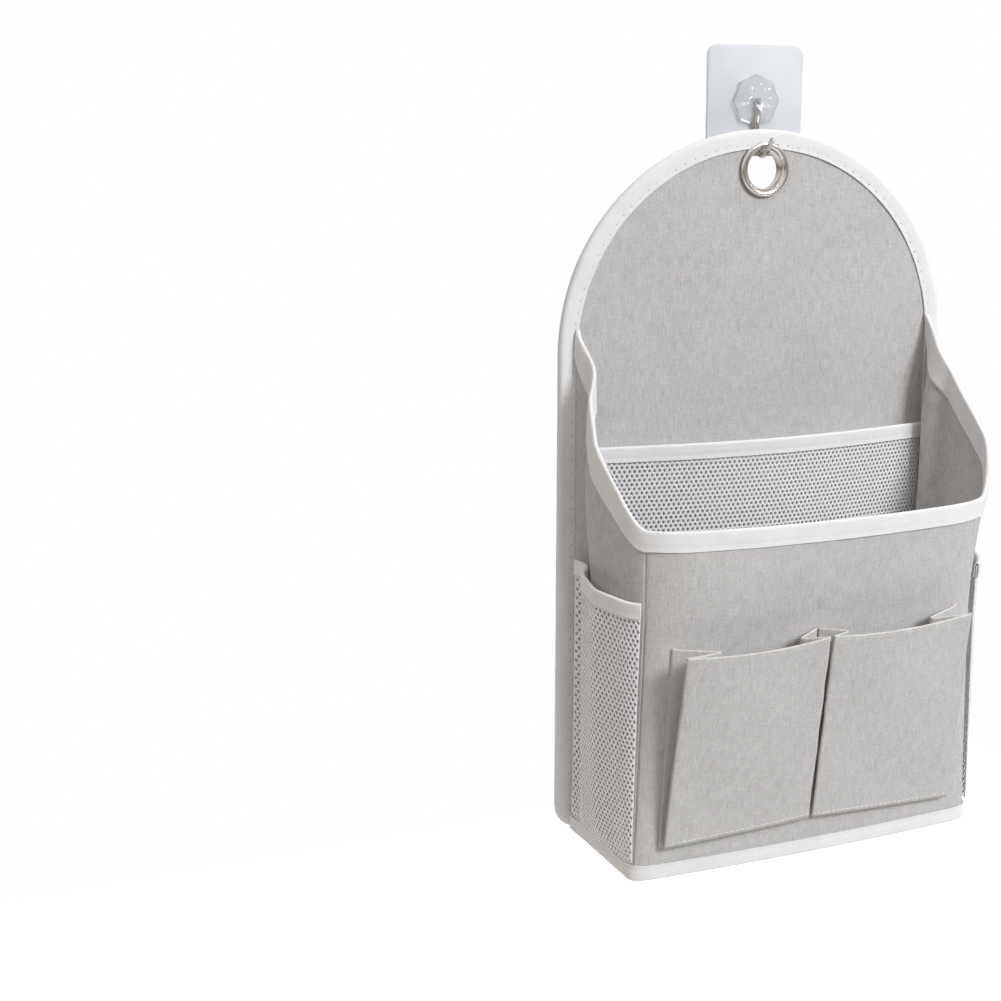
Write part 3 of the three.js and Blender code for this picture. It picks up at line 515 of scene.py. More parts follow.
def back_outline(inset, step):
    """The panel's outline, evenly stepped: points in x and z, inward directions, and lengths run."""
    shoulder, foot, r = SHOULDER_WIDTH / 2, FOOT_WIDTH / 2, FOOT_RADIUS
    rise = PANEL_HEIGHT - SHOULDER_HEIGHT
    turn, arch = np.linspace(0, math.pi / 2, 16)[:-1], np.linspace(0, math.pi / 2, 90)
    right = [(x, 0) for x in np.linspace(0, foot - r, 30)[:-1]]
    right += [(foot - r + r * math.sin(a), r - r * math.cos(a)) for a in turn]
    right += [(mix(foot, shoulder, s), mix(r, SHOULDER_HEIGHT, s)) for s in np.linspace(0, 1, 60)[:-1]]
    right += [(shoulder * math.cos(a), SHOULDER_HEIGHT + rise * math.sin(a)) for a in arch]
    loop = np.array(right + [(-x, z) for x, z in right[1:-1]][::-1] + right[:1])
    run = run_along(loop)
    count = int(round(run[-1] / step))
    at = np.arange(count) * run[-1] / count
    points = np.stack([np.interp(at, run, loop[:, k]) for k in (0, 1)], axis=1)
    ahead = np.roll(points, -1, axis=0) - np.roll(points, 1, axis=0)
    inward = np.stack([-ahead[:, 1], ahead[:, 0]], axis=1)
    inward /= np.linalg.norm(inward, axis=1)[:, None]
    return points + inset * inward, inward, at


def back_sheet(name, y, thickness, material, ripple, facing, replaced):
    """A layer of the back panel, with the eyelet's hole in it."""
    rim, _, _ = back_outline(EDGE_CREST, PANEL_GRID)
    angle = np.arange(40) * TAU / 40
    hole = CLOTH_HOLE * np.stack([np.cos(angle), np.sin(angle)], axis=1) + (0, EYELET_HEIGHT)
    across = np.arange(-30, 31) * float(PANEL_GRID)
    up = np.arange(1, 101) * PANEL_GRID
    inside = np.stack([a.ravel() for a in np.meshgrid(across, up)], axis=1)
    keep = np.abs(inside[:, 0]) < back_half(inside[:, 1], EDGE_CREST + SIDE_CLEAR)
    keep &= np.hypot(inside[:, 0], inside[:, 1] - EYELET_HEIGHT) > CLOTH_HOLE + HOLE_CLEAR
    keep &= inside[:, 1] > EDGE_CREST + FOOT_CLEAR
    points = np.vstack([rim, hole, inside[keep]])
    edges = [(k, (k + 1) % len(rim)) for k in range(len(rim))]
    edges += [(len(rim) + k, len(rim) + (k + 1) % len(hole)) for k in range(len(hole))]
    flat, _, faces, _, _, _ = delaunay_2d_cdt([Vector(p) for p in points], edges, [], 1, 1e-4)
    flat = np.array([tuple(p) for p in flat])
    middles = [flat[list(f)].mean(axis=0) - (0, EYELET_HEIGHT) for f in faces]
    faces = [f[::facing] for f, middle in zip(faces, middles) if math.hypot(*middle) > CLOTH_HOLE - 0.1]
    depth = y + ripple * np.sin(flat[:, 0] / RIPPLE_ACROSS + 0.7) * np.sin(flat[:, 1] / RIPPLE_UP + 1.1)
    made = piece(name, np.stack([flat[:, 0], depth, flat[:, 1]], axis=1), faces, material, flat=flat)
    thicken(made, thickness)
    shape = np.array([flat[list(f)] for f in faces])
    a, b = shape[:, 1] - shape[:, 0], shape[:, 2] - shape[:, 0]
    area = float(np.abs(a[:, 0] * b[:, 1] - a[:, 1] * b[:, 0]).sum() / 2) * MM * MM
    declare(made, np.ptp(flat, axis=0) * MM, area, replaced)


def edge_tape():
    """White tape right round the back panel, with a row of dark dots in front: painted shade for its needle
    holes.
    """
    rim, inward, along = back_outline(EDGE_CREST, EDGE_STEP)

    def place(k, inset, off):
        x, z = rim[k][:, None] + inward[k][:, None] * inset
        return np.stack([x, PANEL / 2 - off, z], axis=1)

    sweep_tape("edge_tape", along, place, EDGE_TAPE, PANEL, EDGE_STITCH_PITCH,
               "edge_binding", closed=True)
    # Dark dots at each needle hole, sunk a little into the tape: painted shade for the holes
    holes = np.arange(0, along[-1], EDGE_STITCH_PITCH)
    edge, toward = (np.stack([np.interp(holes, along, v[:, k]) for k in (0, 1)], axis=1)
                    for v in (rim, inward))
    x, z = (edge + toward * (EDGE_TAPE - PANEL / 2 - STITCH_INSET)).T
    run = np.stack([toward[:, 1], 0 * x, -toward[:, 0]], axis=1)
    places = np.stack([x, 0 * x + PANEL / 2 - EDGE_CREST + HOLE_SHADE_SINK, z], axis=1)
    outward = np.tile((0, -1.0, 0), (len(x), 1))
    stitches("painted_hole_shade_dots", places, run, outward, HOLE_SHADE_LONG, HOLE_SHADE_WIDE, PAINTED_HOLE_SHADE)


# Walls of the box
def back_seam(z):
    """Half the box's width where it meets the back panel."""
    return back_half(z, 0) - EDGE_TAPE + SEAM_OVER_TAPE


def fold_at(t, peak, roundness):
    """A fold's height at share t of a wall: 0 at its ends and about 1 at its rounded peak."""
    up = np.exp(-t / peak / roundness)
    down = np.exp(-(1 - t) / (1 - peak) / roundness)
    return np.maximum(-roundness * np.log(up + down), 0)


def crease_at(t):
    return np.sin(math.pi * np.clip((t - CREASE_START) / (1 - CREASE_START), 0, 1)) ** 2


def cloth_folds(left, z, t):
    """How a side wall's cloth stands off its flat, from front corner 0 to back seam 1."""
    full = smooth((z - FOLD_START) / (FOLD_FULL - FOLD_START))
    fade = mix(1, FOLD_TOP, smooth((z - FOLD_FULL) / (RIM_BACK - FOLD_FULL)))
    pressed = np.sin(math.pi / 2 * np.clip(z / CREASE_FULL, 0, 1))
    out = np.where(left, FOLD_LEFT * fold_at(t, FOLD_PEAK_LEFT, FOLD_ROUND_LEFT),
                   FOLD_RIGHT * fold_at(t, FOLD_PEAK_RIGHT, FOLD_ROUND_RIGHT))
    eased = 1 - CREASE_EASE_RIGHT * smooth((z - CREASE_EASE_LOW) / (CREASE_EASE_HIGH - CREASE_EASE_LOW))
    crease = np.where(left, CREASE_LEFT, CREASE_RIGHT * eased) * crease_at(t)
    return fade * (full * out - pressed * crease)


def wall_plan(u, z, folds=cloth_folds):
    """A wall's outer face in plan. u runs along it, 0 at the middle of the front."""
    u, z = np.broadcast_arrays(np.asarray(u, float), np.asarray(z, float))
    left, across = u < 0, np.abs(u)
    share = z / MOUTH_HEIGHT
    turn = np.clip(share, 0, 1) ** 0.7
    flare = MOUTH_FLARE * np.clip(1 + (z - MOUTH_HEIGHT) / FLARE_DEPTH, 0, 1) ** 2
    left_half = mix(BASE_WIDTH / 2, MOUTH_HALF - MOUTH_SHIFT, share)
    right_half = mix(BASE_WIDTH / 2, MOUTH_HALF + MOUTH_SHIFT - MOUTH_FLARE, share) + flare
    half = np.where(left, left_half, right_half)
    shift = np.where(left, left_half - right_half, right_half - left_half)
    depth = mix(BASE_DEPTH, MOUTH_DEPTH, share)
    front_turn = mix(BASE_FRONT_TURN, MOUTH_FRONT_TURN, turn)
    side_turn = mix(BASE_SIDE_TURN, MOUTH_SIDE_TURN, turn)

    def front(a):
        x = (shift + (right_half + left_half) * a / MOUTH_HALF) / 2
        return x, -depth - FRONT_BOW * (1 - (a / MOUTH_HALF) ** 2)

    def side(a):
        t = (a - MOUTH_HALF) / MOUTH_DEPTH
        return mix(half, back_seam(z), t) + folds(left, z, t), mix(-depth, BOX_BACK, t)

    fx, fy = front(np.minimum(across, MOUTH_HALF - front_turn))
    sx, sy = side(np.maximum(across, MOUTH_HALF + side_turn))
    t = np.clip((across - MOUTH_HALF + front_turn) / (front_turn + side_turn), 0, 1)
    x = (1 - t) ** 2 * fx + 2 * t * (1 - t) * half + t**2 * sx
    y = (1 - t) ** 2 * fy - 2 * t * (1 - t) * depth + t**2 * sy
    return np.where(left, -x, x), y


def wall_point(u, z, off, folds=cloth_folds):
    step = 0.05
    ax, ay = wall_plan(np.minimum(u + step, WALL_RUN), z, folds)
    bx, by = wall_plan(np.maximum(u - step, -WALL_RUN), z, folds)
    x, y = wall_plan(u, z, folds)
    length = np.hypot(ax - bx, ay - by)
    nx, ny = (ay - by) / length, -(ax - bx) / length
    z = np.broadcast_to(z, x.shape)
    return np.stack([x + off * nx, y + off * ny, z], axis=-1)


def rim_height(u):
    share = np.clip((np.abs(u) - MOUTH_HALF) / MOUTH_DEPTH, 0, 1)
    sag = MOUTH_SAG * (1 - np.clip(np.abs(u) / MOUTH_HALF, 0, 1) ** 2)
    return mix(MOUTH_HEIGHT, RIM_BACK, share ** np.where(u < 0, RIM_FALL_LEFT, RIM_FALL_RIGHT)) - sag


def softness(u, z):
    """Slow waves in the walls' cloth."""
    waves = 0.45 * np.sin(u / SOFT_ACROSS + 0.5) * np.sin(z / SOFT_UP + 1.0)
    waves += 0.5 * np.sin(u / SLANT_ACROSS - z / SLANT_UP)
    return WALL_SOFTNESS * waves * smooth(z / SOFT_FOOT) * smooth((MOUTH_HEIGHT - z) / SOFT_RIM + 0.15)


def seam_groove(u):
    return -SEAM_GROOVE * bell(np.abs(u), MOUTH_HALF, SEAM_GROOVE_WIDTH)


def stations(low, high, step, seams=()):
    """Even stations with extra ones close to each seam."""
    base = np.linspace(low, high, int(round((high - low) / step)) + 1)
    near = [s + d for s in seams for d in NEAR_SEAM if low <= s + d <= high]
    return np.unique(np.round(np.concatenate([base, near]), 4))


def wall_sheet(name, low, high, replaced):
    us = stations(low, high, WALL_STEP, (-MOUTH_HALF, MOUTH_HALF))
    share = np.linspace(0, 1, 90)
    zs = mix(BASE_HEIGHT + GAP, rim_height(us)[:, None] - GAP, share[None, :])
    u = np.broadcast_to(us[:, None], zs.shape)
    off = -CLOTH / 2 + softness(u, zs) + seam_groove(u)
    sheet_piece(name, wall_point(u, zs, off), np.stack([u, zs], axis=2), GREY_CLOTH,
                replaced)


def mouth_tape():
    """Tape over the rim. Where the rim slopes, it reaches further down to keep its width."""
    us = stations(-WALL_RUN, WALL_RUN, TAPE_STEP)
    rise = rim_height(us + RIM_SLOPE_SPAN / 2) - rim_height(us - RIM_SLOPE_SPAN / 2)
    stretch = np.hypot(rise, RIM_SLOPE_SPAN) / RIM_SLOPE_SPAN

    def place(k, inset, off):
        return wall_point(us[k], rim_height(us[k]) - inset * stretch[k], off - CLOTH / 2)

    along = run_along(wall_point(us, rim_height(us), 0))
    sweep_tape("mouth_tape", along, place, MOUTH_TAPE, CLOTH, TAPE_STITCH_PITCH,
               "mouth_binding")


def bottom_tape():
    """Tape round the foot of the walls, turned in under the bottom."""
    us = stations(-WALL_RUN, WALL_RUN, TAPE_STEP)
    top = BASE_HEIGHT + BASE_TAPE - GAP - TAPE
    outer = [(GAP + TAPE, top - s) for s in np.linspace(0, BASE_TAPE_LEG, 8)]
    outer += [(0.85, 1.2), (0.6, 0.45), (0.15, 0.05), (-0.5, 0.0), (-4, 0.0)]
    inner = [(-4.2, 0.3), (-4, 0.6), (-0.2, 0.6), (0.2, 0.8), (0.3, 1.4)]
    inner += [(GAP, z) for z in np.linspace(2.5, top, 5)]
    outline = np.array(outer + inner)
    off, height = outline.T
    along = run_along(wall_point(us, BASE_TAPE_LEVEL, 0))
    rings = []
    for u, run in zip(us, along):
        drawn = pucker(run, height, BASE_TAPE_STITCH, TAPE_STITCH_PITCH, BASE_PUCKER)
        rings.append(wall_point(u, height, off + drawn * (off > 0.5)))
    tape_piece("bottom_tape", rings, outline, along, len(outer), "bottom_binding")


def bottom_cloth():
    low = cad_size("bottom_panel")[0]
    ys = np.linspace(low[1] + WALL_GAP + BOTTOM_FRONT_EASE, BOX_BACK - BOTTOM_BACK_EASE, 26)
    half = np.array([np.interp(-y, *side_reach()) for y in ys]) - CLOTH - GAP
    x = half[:, None] * np.linspace(-1, 1, 60)[None, :]
    y = np.broadcast_to(ys[:, None], x.shape)
    z = np.full_like(x, BASE_HEIGHT + CLOTH / 2)
    sheet_piece("bottom_cloth", np.stack([x, y, z], axis=2), np.stack([x, y], axis=2), GREY_CLOTH,
                "bottom_panel")


def side_reach():
    """Half the base's width for each depth off the back, deepest last."""
    us = np.linspace(WALL_RUN, 0, 200)
    x, y = wall_plan(us, BOTTOM_LEVEL)
    order = np.argsort(-y)
    return -y[order], x[order]


# Nets
def hex_net(name, width, height, surface, replaced):
    """A net of real holes. surface(a, b) places points at a across and b up the flat net."""
    columns = int(round(width / NET_PITCH))
    pitch = width / columns
    row = pitch * math.sqrt(3) / 2
    rows = int(height / row)
    side, half = pitch / math.sqrt(3), pitch / 2
    corners = [(0, side), (-half, side / 2), (-half, -side / 2), (0, -side), (half, -side / 2),
               (half, side / 2)]
    points, faces, known = [], [], {}

    def corner(a, b):
        key = (round(a * 4), round(b * 4))
        if key not in known:
            known[key] = len(points)
            points.append((min(max(a, 0), width), b))
        return known[key]

    for j in range(rows):
        middle_b = (j + 0.5) * row + side / 2
        odd = j % 2
        for i in range(columns + odd):
            middle_a = (i + 0.5 * (1 - odd)) * pitch
            ring = [corner(middle_a + a, middle_b + b) for a, b in corners]
            if odd and i in (0, columns):
                keep = [ring[k] for k in ((0, 3, 4, 5) if i == 0 else (0, 1, 2, 3))]
                faces.append(keep)
                continue
            start = len(points)
            points.extend((middle_a + HOLE_WIDE * a, middle_b + HOLE_TALL * b) for a, b in corners)
            faces.extend((ring[k], ring[(k + 1) % 6], start + (k + 1) % 6, start + k) for k in range(6))
    flat = np.array(points)
    placed = surface(flat[:, 0], flat[:, 1])
    made = piece(name, placed, faces, WHITE_NET, flat=flat)
    thicken(made, NET)
    shape = [placed[list(f)] for f in faces]
    area = sum(float(np.linalg.norm(np.cross(s[2] - s[0], s[3] - s[1]))) for s in shape) / 2 * MM * MM
    declare(made, (width * MM, np.ptp(flat[:, 1]) * MM), area, replaced)


def inner_net_point(s, z, n):
    half = back_seam(z) - CLOTH - INNER_NET_GAP
    rise = np.clip(z / INNER_NET_TOP, 0, 1)
    swell = INNER_NET_BULGE * np.sin(math.pi * s) * np.sin(math.pi / 2 * np.sqrt(rise))
    return np.stack([mix(-half, half, s), BOX_BACK - NET_STAND - swell - n, z + 0 * s], axis=-1)


def inner_net():
    width = 2 * (float(back_seam(INNER_NET_LEVEL)) - CLOTH - INNER_NET_GAP)

    def surface(a, b):
        return inner_net_point(a / width, INNER_NET_FOOT + b, 0)

    def tape_point(s, drop, off):
        return inner_net_point(s, INNER_NET_TOP - drop, off)

    hex_net("inner_net", width, INNER_NET_TOP - INNER_NET_FOOT - NET_UNDER_TAPE, surface,
            "inner_pocket_net")
    net_tape("inner_tape", width, INNER_TAPE, tape_point, "inner_pocket_binding")


def net_tape(name, width, tape_width, point, replaced):
    shares = np.linspace(0, 1, int(width / TAPE_STEP))

    def place(k, inset, off):
        return point(shares[k] + 0 * inset, inset, off)

    sweep_tape(name, shares * width, place, tape_width, NET_EDGE, TAPE_STITCH_PITCH, replaced)


def side_net_top(s):
    return mix(SIDE_NET_FRONT, SIDE_NET_BACK, (1 - s) ** SIDE_NET_FALL)


def net_folds(left, z, t):
    rise = np.clip((z - SIDE_NET_BOTTOM) / (SIDE_NET_FRONT - SIDE_NET_BOTTOM), 0, 1)
    out = np.where(left, SIDE_NET_LEFT, SIDE_NET_RIGHT) * fold_at(t, SIDE_NET_PEAK, SIDE_NET_ROUND)
    return np.sin(math.pi / 2 * np.sqrt(rise)) * (out - SIDE_NET_CREASE * crease_at(t))


def side_net_point(sign, s, z, n):
    across = mix(WALL_RUN - SIDE_NET_SEAM, MOUTH_HALF + NET_SEAM_GAP, s)
    return wall_point(sign * across, z, NET_STAND + n, net_folds)


def side_nets():
    bottom = SIDE_NET_BOTTOM + GAP
    width, height = MOUTH_DEPTH - SIDE_NET_SEAM - NET_SEAM_GAP, SIDE_NET_FRONT - bottom - NET_UNDER_TAPE
    for name, sign in (("left", -1), ("right", 1)):
        def surface(a, b, sign=sign):
            top = side_net_top(a / width) - NET_UNDER_TAPE
            return side_net_point(sign, a / width, mix(bottom, top, b / height), 0)

        def tape_point(s, drop, off, sign=sign):
            return side_net_point(sign, s, side_net_top(s) - drop, off)

        hex_net(f"{name}_net", width, height, surface, f"{name}_pocket_net")
        net_tape(f"{name}_net_tape", width, SIDE_TAPE, tape_point, f"{name}_pocket_binding")


# Front pockets
def rounded(line, radius):
    """Rounds the corners of a line of points, each with its own radius."""
    out = [line[0]]
    for k in range(1, len(line) - 1):
        a, b, c = line[k - 1], line[k], line[k + 1]
        back, ahead = a - b, c - b
        back_length, ahead_length = np.linalg.norm(back), np.linalg.norm(ahead)
        cut = min(radius[k], 0.45 * back_length, 0.45 * ahead_length)
        p, q = b + back / back_length * cut, b + ahead / ahead_length * cut
        for t in np.linspace(0, 1, 6):
            out.append((1 - t) ** 2 * p + 2 * t * (1 - t) * b + t**2 * q)
    out.append(line[-1])
    return np.array(out)


def resampled(line, count):
    run = run_along(line)
    at = np.linspace(0, run[-1], count)
    return np.stack([np.interp(at, run, line[:, k]) for k in (0, 1)], axis=1), at


def pocket_bottom(u):
    half = (POCKET_SEW_RIGHT - POCKET_SEW_LEFT) / 2
    return POCKET_BOTTOM + POCKET_RISE * (1 - np.abs(u - POCKET_SEW_MIDDLE) / half)


def pocket_top(u, left, right):
    """The top edge between two sew lines: it climbs to the right and sags in the middle."""
    across = (u - POCKET_SEW_LEFT) / (POCKET_SEW_RIGHT - POCKET_SEW_LEFT)
    share = np.clip((u - left) / (right - left), 0, 1)
    return mix(POCKET_LEFT_TOP, POCKET_RIGHT_TOP, across) - POCKET_SAG * 4 * share * (1 - share)


def pocket_plan(left, right, share):
    """A pocket's line in plan at a share of its height, and how far its front stands off the wall."""
    layer = GAP + CLOTH / 2
    front = mix(layer + 4 * PLEAT_TURN, POCKET_STAND, share)
    fold = mix(layer + PLEAT_TURN, POCKET_STAND / 2, share)

    def pleat(sewn, depth, inset, turn, way):
        leftward = max(0, (POCKET_SEW_MIDDLE - sewn) / (POCKET_SEW_MIDDLE - POCKET_SEW_LEFT))
        sewn = sewn + POCKET_LEAN * leftward * (share - LEAN_MIDDLE)
        inner = sewn + way * depth
        corner = sewn + way * mix(FOOT_INSET - turn / 4, inset + PLEAT_TURN, share)
        return [(sewn, layer), (inner, max(fold - PLEAT_TURN, layer)), (inner, fold + PLEAT_TURN),
                (corner, front)]

    start, end = pleat(*left, 1), pleat(*right, -1)[::-1]
    line = np.array(start + [(mix(start[-1][0], end[0][0], 0.5), front)] + end)
    pleat_round = [PLEAT_ROUND] * 2
    return rounded(line, [0, *pleat_round, left[3], FRONT_ROUND, right[3], *pleat_round, 0]), front


def front_stitches(name, left, right, heights, length, width, material):
    """A row of threads on a pocket's front. heights(u) gives their height at each place across."""
    low, high = left[0] + left[3] + STITCH_END, right[0] - right[3] - STITCH_END
    us = np.arange(low, high, TOPSTITCH_PITCH)
    zs = heights(us)
    shares = (zs - pocket_bottom(us)) / (pocket_top(us, left[0], right[0]) - pocket_bottom(us))
    off = np.array([pocket_plan(left, right, s)[1] for s in shares]) + CLOTH / 2
    places, above = wall_point(us, zs, off), wall_point(us, zs, off + 1)
    ahead = wall_point(us + 1, heights(us + 1), off)
    stitches(name, places, ahead - places, above - places, length, width, material)


def pocket(side, left, right):
    """A pocket between two sew lines, each given with its pleat's depth, its inset and its fold."""
    heights = np.concatenate([np.linspace(0, 0.94, 60), np.linspace(0.945, 1, 16)])
    rows = [resampled(pocket_plan(left, right, share)[0], 160) for share in heights]
    plan, along = (np.array(a) for a in zip(*rows))
    u = plan[:, :, 0]
    z = mix(pocket_bottom(u), pocket_top(u, left[0], right[0]), heights[:, None])
    points, flat = wall_point(u, z, plan[:, :, 1]), np.stack([along, z], axis=2)
    made = sheet_piece(f"{side}_front_pocket", points, flat, GREY_CLOTH,
                       f"front_pocket_{side}")
    # The top band of faces takes the paler linen: a painted highlight along the hem's edge
    made.data.materials.append(PALE_HEM_HIGHLIGHT)
    hem_highlight_start = np.searchsorted(heights, 1 - HEM_BAND / (POCKET_LEFT_TOP - POCKET_BOTTOM))
    for face in made.data.polygons:
        face.material_index = int(face.index // (plan.shape[1] - 1) >= hem_highlight_start)
    front_stitches(f"{side}_bottom_stitches", left, right, lambda u: pocket_bottom(u) + BOTTOM_LINE,
                   TOPSTITCH, TOPSTITCH_WIDE, THREAD)
    front_stitches(f"{side}_hem_stitches", left, right, lambda u: pocket_top(u, left[0], right[0]) - HEM_LINE,
                   HEM_STITCH, HEM_STITCH_WIDE, PALE_HEM_HIGHLIGHT)


def pockets():
    half_gap = POCKET_SEW_GAP / 2
    pocket("left", (POCKET_SEW_LEFT, OUTER_PLEAT, LEFT_INSET, SOFT_FOLD),
           (POCKET_SEW_MIDDLE - half_gap, CENTRE_PLEAT, CENTRE_INSET, SHARP_FOLD))
    pocket("right", (POCKET_SEW_MIDDLE + half_gap, CENTRE_PLEAT, CENTRE_FOLD_INSET, CENTRE_FOLD),
           (POCKET_SEW_RIGHT, OUTER_PLEAT, RIGHT_INSET, SHARP_FOLD))


# Eyelet and hook
def lathe(name, profile, sharp, replaced):
    """Spins a closed profile of radius and y round the eyelet's axis."""
    profile = np.array(profile)
    angle = np.arange(EYELET_SIDES) * TAU / EYELET_SIDES
    x = profile[None, :, 0] * np.cos(angle)[:, None]
    z = profile[None, :, 0] * np.sin(angle)[:, None] + EYELET_HEIGHT
    y = np.broadcast_to(profile[None, :, 1], x.shape)
    faces = grid_faces(EYELET_SIDES, len(profile), True, True)
    points = np.stack([x, y, z], axis=2).reshape(-1, 3)
    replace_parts(piece(name, points, faces, NICKEL, body="eyelet", sharp=sharp), replaced)


def eyelet():
    low, high = cad_size("eyelet_ring")
    front, back = low[1] + WALL_GAP, high[1] + WALL_GAP
    seat, roll_seat = -(2 * GAP + TAPE), PANEL + 3 * GAP + 2 * TAPE
    waist = (front + back) / 2
    crest = (EYELET_HOLE + 2 * EYELET_OUTER) / 3
    roll = (2 * EYELET_HOLE + EYELET_OUTER) / 3
    barrel = EYELET_HOLE + BARREL_WALL
    turn = np.linspace(0, math.pi / 2, 13)[1:]
    edge = seat - RIM_EDGE / 2
    ring = [(barrel, roll_seat), (barrel, seat), (EYELET_OUTER - RIM_EDGE, seat), (EYELET_OUTER, edge)]
    ring += [(mix(crest, EYELET_OUTER, math.cos(a)), mix(edge, front, math.sin(a))) for a in turn]
    ring += [(mix(crest, EYELET_HOLE, math.sin(a)), mix(waist, front, math.cos(a))) for a in turn]
    ring += [(mix(roll, EYELET_HOLE, math.cos(a)), mix(waist, back, math.sin(a))) for a in turn]
    ring += [(2 * roll - barrel, (roll_seat + back) / 2), (2 * roll - barrel, roll_seat)]
    lathe("eyelet", ring, 40, "eyelet_ring")
    low, high = cad_size("eyelet_washer")
    front, back = low[1] + WALL_GAP, high[1] + WALL_GAP
    inner = EYELET_HOLE + WASHER_WALL
    washer = [(inner, front), (EYELET_OUTER, front), (EYELET_OUTER, back - RIM_EDGE),
              (EYELET_OUTER - RIM_EDGE, back), (inner, back)]
    lathe("washer", washer, 30, "eyelet_washer")


def rounded_plate(name, bevel, material, replaced):
    """A square plate with round corners, its edges bevelled on both faces."""
    low, high = cad_size(replaced)
    reach = (high[0] - low[0]) / 2
    half = reach - PLATE_CORNER
    angle = (np.linspace(0, math.pi / 2, 10) + np.arange(4)[:, None] * math.pi / 2).ravel()
    middles = half * np.repeat([(1, 1), (-1, 1), (-1, -1), (1, -1)], 10, axis=0)
    outline = middles + PLATE_CORNER * np.stack([np.cos(angle), np.sin(angle)], axis=1)
    count = len(outline)
    sides = [(bevel, low[1]), (bevel * 0.3, low[1] + bevel * 0.3), (0, low[1] + bevel), (0, high[1] - bevel),
             (bevel * 0.3, high[1] - bevel * 0.3), (bevel, high[1])]
    rings = []
    for shrink, y in sides:
        x, z = (outline * (1 - shrink / reach)).T
        rings.append(np.stack([x, np.full(count, y), z], axis=1))
    faces = grid_faces(len(rings), count, wrap_columns=True).tolist()
    faces += [list(range(count)), [(len(rings) - 1) * count + k for k in range(count)][::-1]]
    made = piece(name, np.concatenate(rings), faces, material, body="hook", sharp=35)
    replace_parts(made, replaced)


def hook_boss():
    """A lobed dome: eight petals round a sunk middle. A level is its width and its height as shares."""
    low, high = cad_size("hook_boss")
    reach, depth = (high[0] - low[0]) / 2, high[1] - low[1]
    rings, count = [], 128
    angle = np.arange(count) * TAU / count
    petal = np.cos(PETALS * angle)
    levels = [(1, 0), (1, 0.16), (0.985, 0.3), (0.94, 0.46), (0.86, 0.62), (0.76, 0.76), (0.66, 0.87),
              (0.56, 0.95), (0.46, 0.99), (0.38, 0.98), (0.3, 0.93), (0.2, 0.88), (0.1, 0.86)]
    for wide, tall in levels:
        radius = (reach - BOSS_EASE + PETAL * petal) * wide
        ridge = PETAL_RIDGE * (petal - 0.2) * bell(wide, 0.7, 0.22)
        y = np.maximum(high[1] - depth * tall - ridge * min(1, tall * 1.4), low[1])
        rings.append(np.stack([radius * np.sin(angle), y, radius * np.cos(angle)], axis=1))
    points = np.concatenate(rings + [[(0, high[1] - depth * 0.85, 0)]])
    faces = grid_faces(len(rings), count, wrap_columns=True).tolist()
    last, tip = (len(rings) - 1) * count, len(points) - 1
    faces += [[last + k, tip, last + (k + 1) % count][::-1] for k in range(count)]
    faces.append(list(range(count)))
    made = piece("boss", points, faces, CLEAR_BOSS, body="hook", sharp=60)
    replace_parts(made, "hook_boss")


def domed_tube(path, radius):
    """The rings of a round bar along a path in one upright plane, with a domed far end."""
    along = np.gradient(path, axis=0)
    along /= np.linalg.norm(along, axis=1)[:, None]
    across = np.array((1.0, 0, 0))
    angle = np.arange(20)[:, None] * TAU / 20
    spokes = [np.cos(angle) * across + np.sin(angle) * np.cross(t, across) for t in along]
    rings = [p + radius * s for p, s in zip(path, spokes)]
    for a in np.linspace(0, math.pi / 2, 7)[1:-1]:
        rings.append(path[-1] + radius * (TIP_DOME * math.sin(a) * along[-1] + math.cos(a) * spokes[-1]))
    return rings


def hook_wire():
    """The wire comes down from the boss, goes round its bend, and ends a little up its lean."""
    low, high = cad_size("hook_wire")
    radius = WIRE / 2
    back = high[1] - radius
    foot = low[2] + radius + WIRE_BEND
    lean = math.radians(WIRE_LEAN)
    path = [(0, back, z) for z in np.linspace(high[2], foot, 12)[:-1]]
    for a in np.linspace(0, math.pi - lean, 28):
        path.append((0, back - WIRE_BEND + WIRE_BEND * math.cos(a), foot - WIRE_BEND * math.sin(a)))
    end = np.array(path[-1])
    for s in (0.25, 0.5, 0.75, 1):
        path.append(end + s * WIRE_TIP * np.array((0, -math.sin(lean), math.cos(lean))))
    rings = domed_tube(np.array(path), radius)
    faces = tube_faces(len(rings), len(rings[0]))
    made = piece("hook_bar", np.concatenate(rings), faces, STEEL, body="hook", sharp=60)
    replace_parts(made, "hook_wire")


# Camera, lights and stage
PHOTO_PIXELS, FOCAL_PIXELS, SENSOR = 1001, 1249.0149, 36
CAMERA_PLACE = (-371.4775, -640.8871, 358.5733)
CAMERA_YAW, CAMERA_PITCH, CAMERA_ROLL = 0.3198, 0.2233, -0.0168
WORLD_LIGHT = 0.76
KEY_POWER, KEY_SIZE, KEY_COLOUR = 35, 0.7, (0.97, 0.98, 1.0)
KEY_AZIMUTH, KEY_ELEVATION, KEY_DISTANCE = 32, 31, 2.2
FILL_POWER, FILL_SIZE, FILL_COLOUR = 2.6, 1.4, (1.0, 0.72, 0.42)
FILL_PLACE = (-2.2, -0.25, 0.2)
AIM = (0, 0, -0.2)
FLOOR_HALF, FLOOR_HEIGHT = 1.1, -1.0


def look_matrix(place, yaw, pitch, roll):
    forward = Vector((math.sin(yaw) * math.cos(pitch), math.cos(yaw) * math.cos(pitch), -math.sin(pitch)))
    level = forward.cross(Vector((0, 0, 1))).normalized()
    above = level.cross(forward)
    right = math.cos(roll) * level + math.sin(roll) * above
    up = -math.sin(roll) * level + math.cos(roll) * above
    turn = Matrix((right, up, -forward)).transposed().to_4x4()
    return Matrix.Translation(place) @ turn


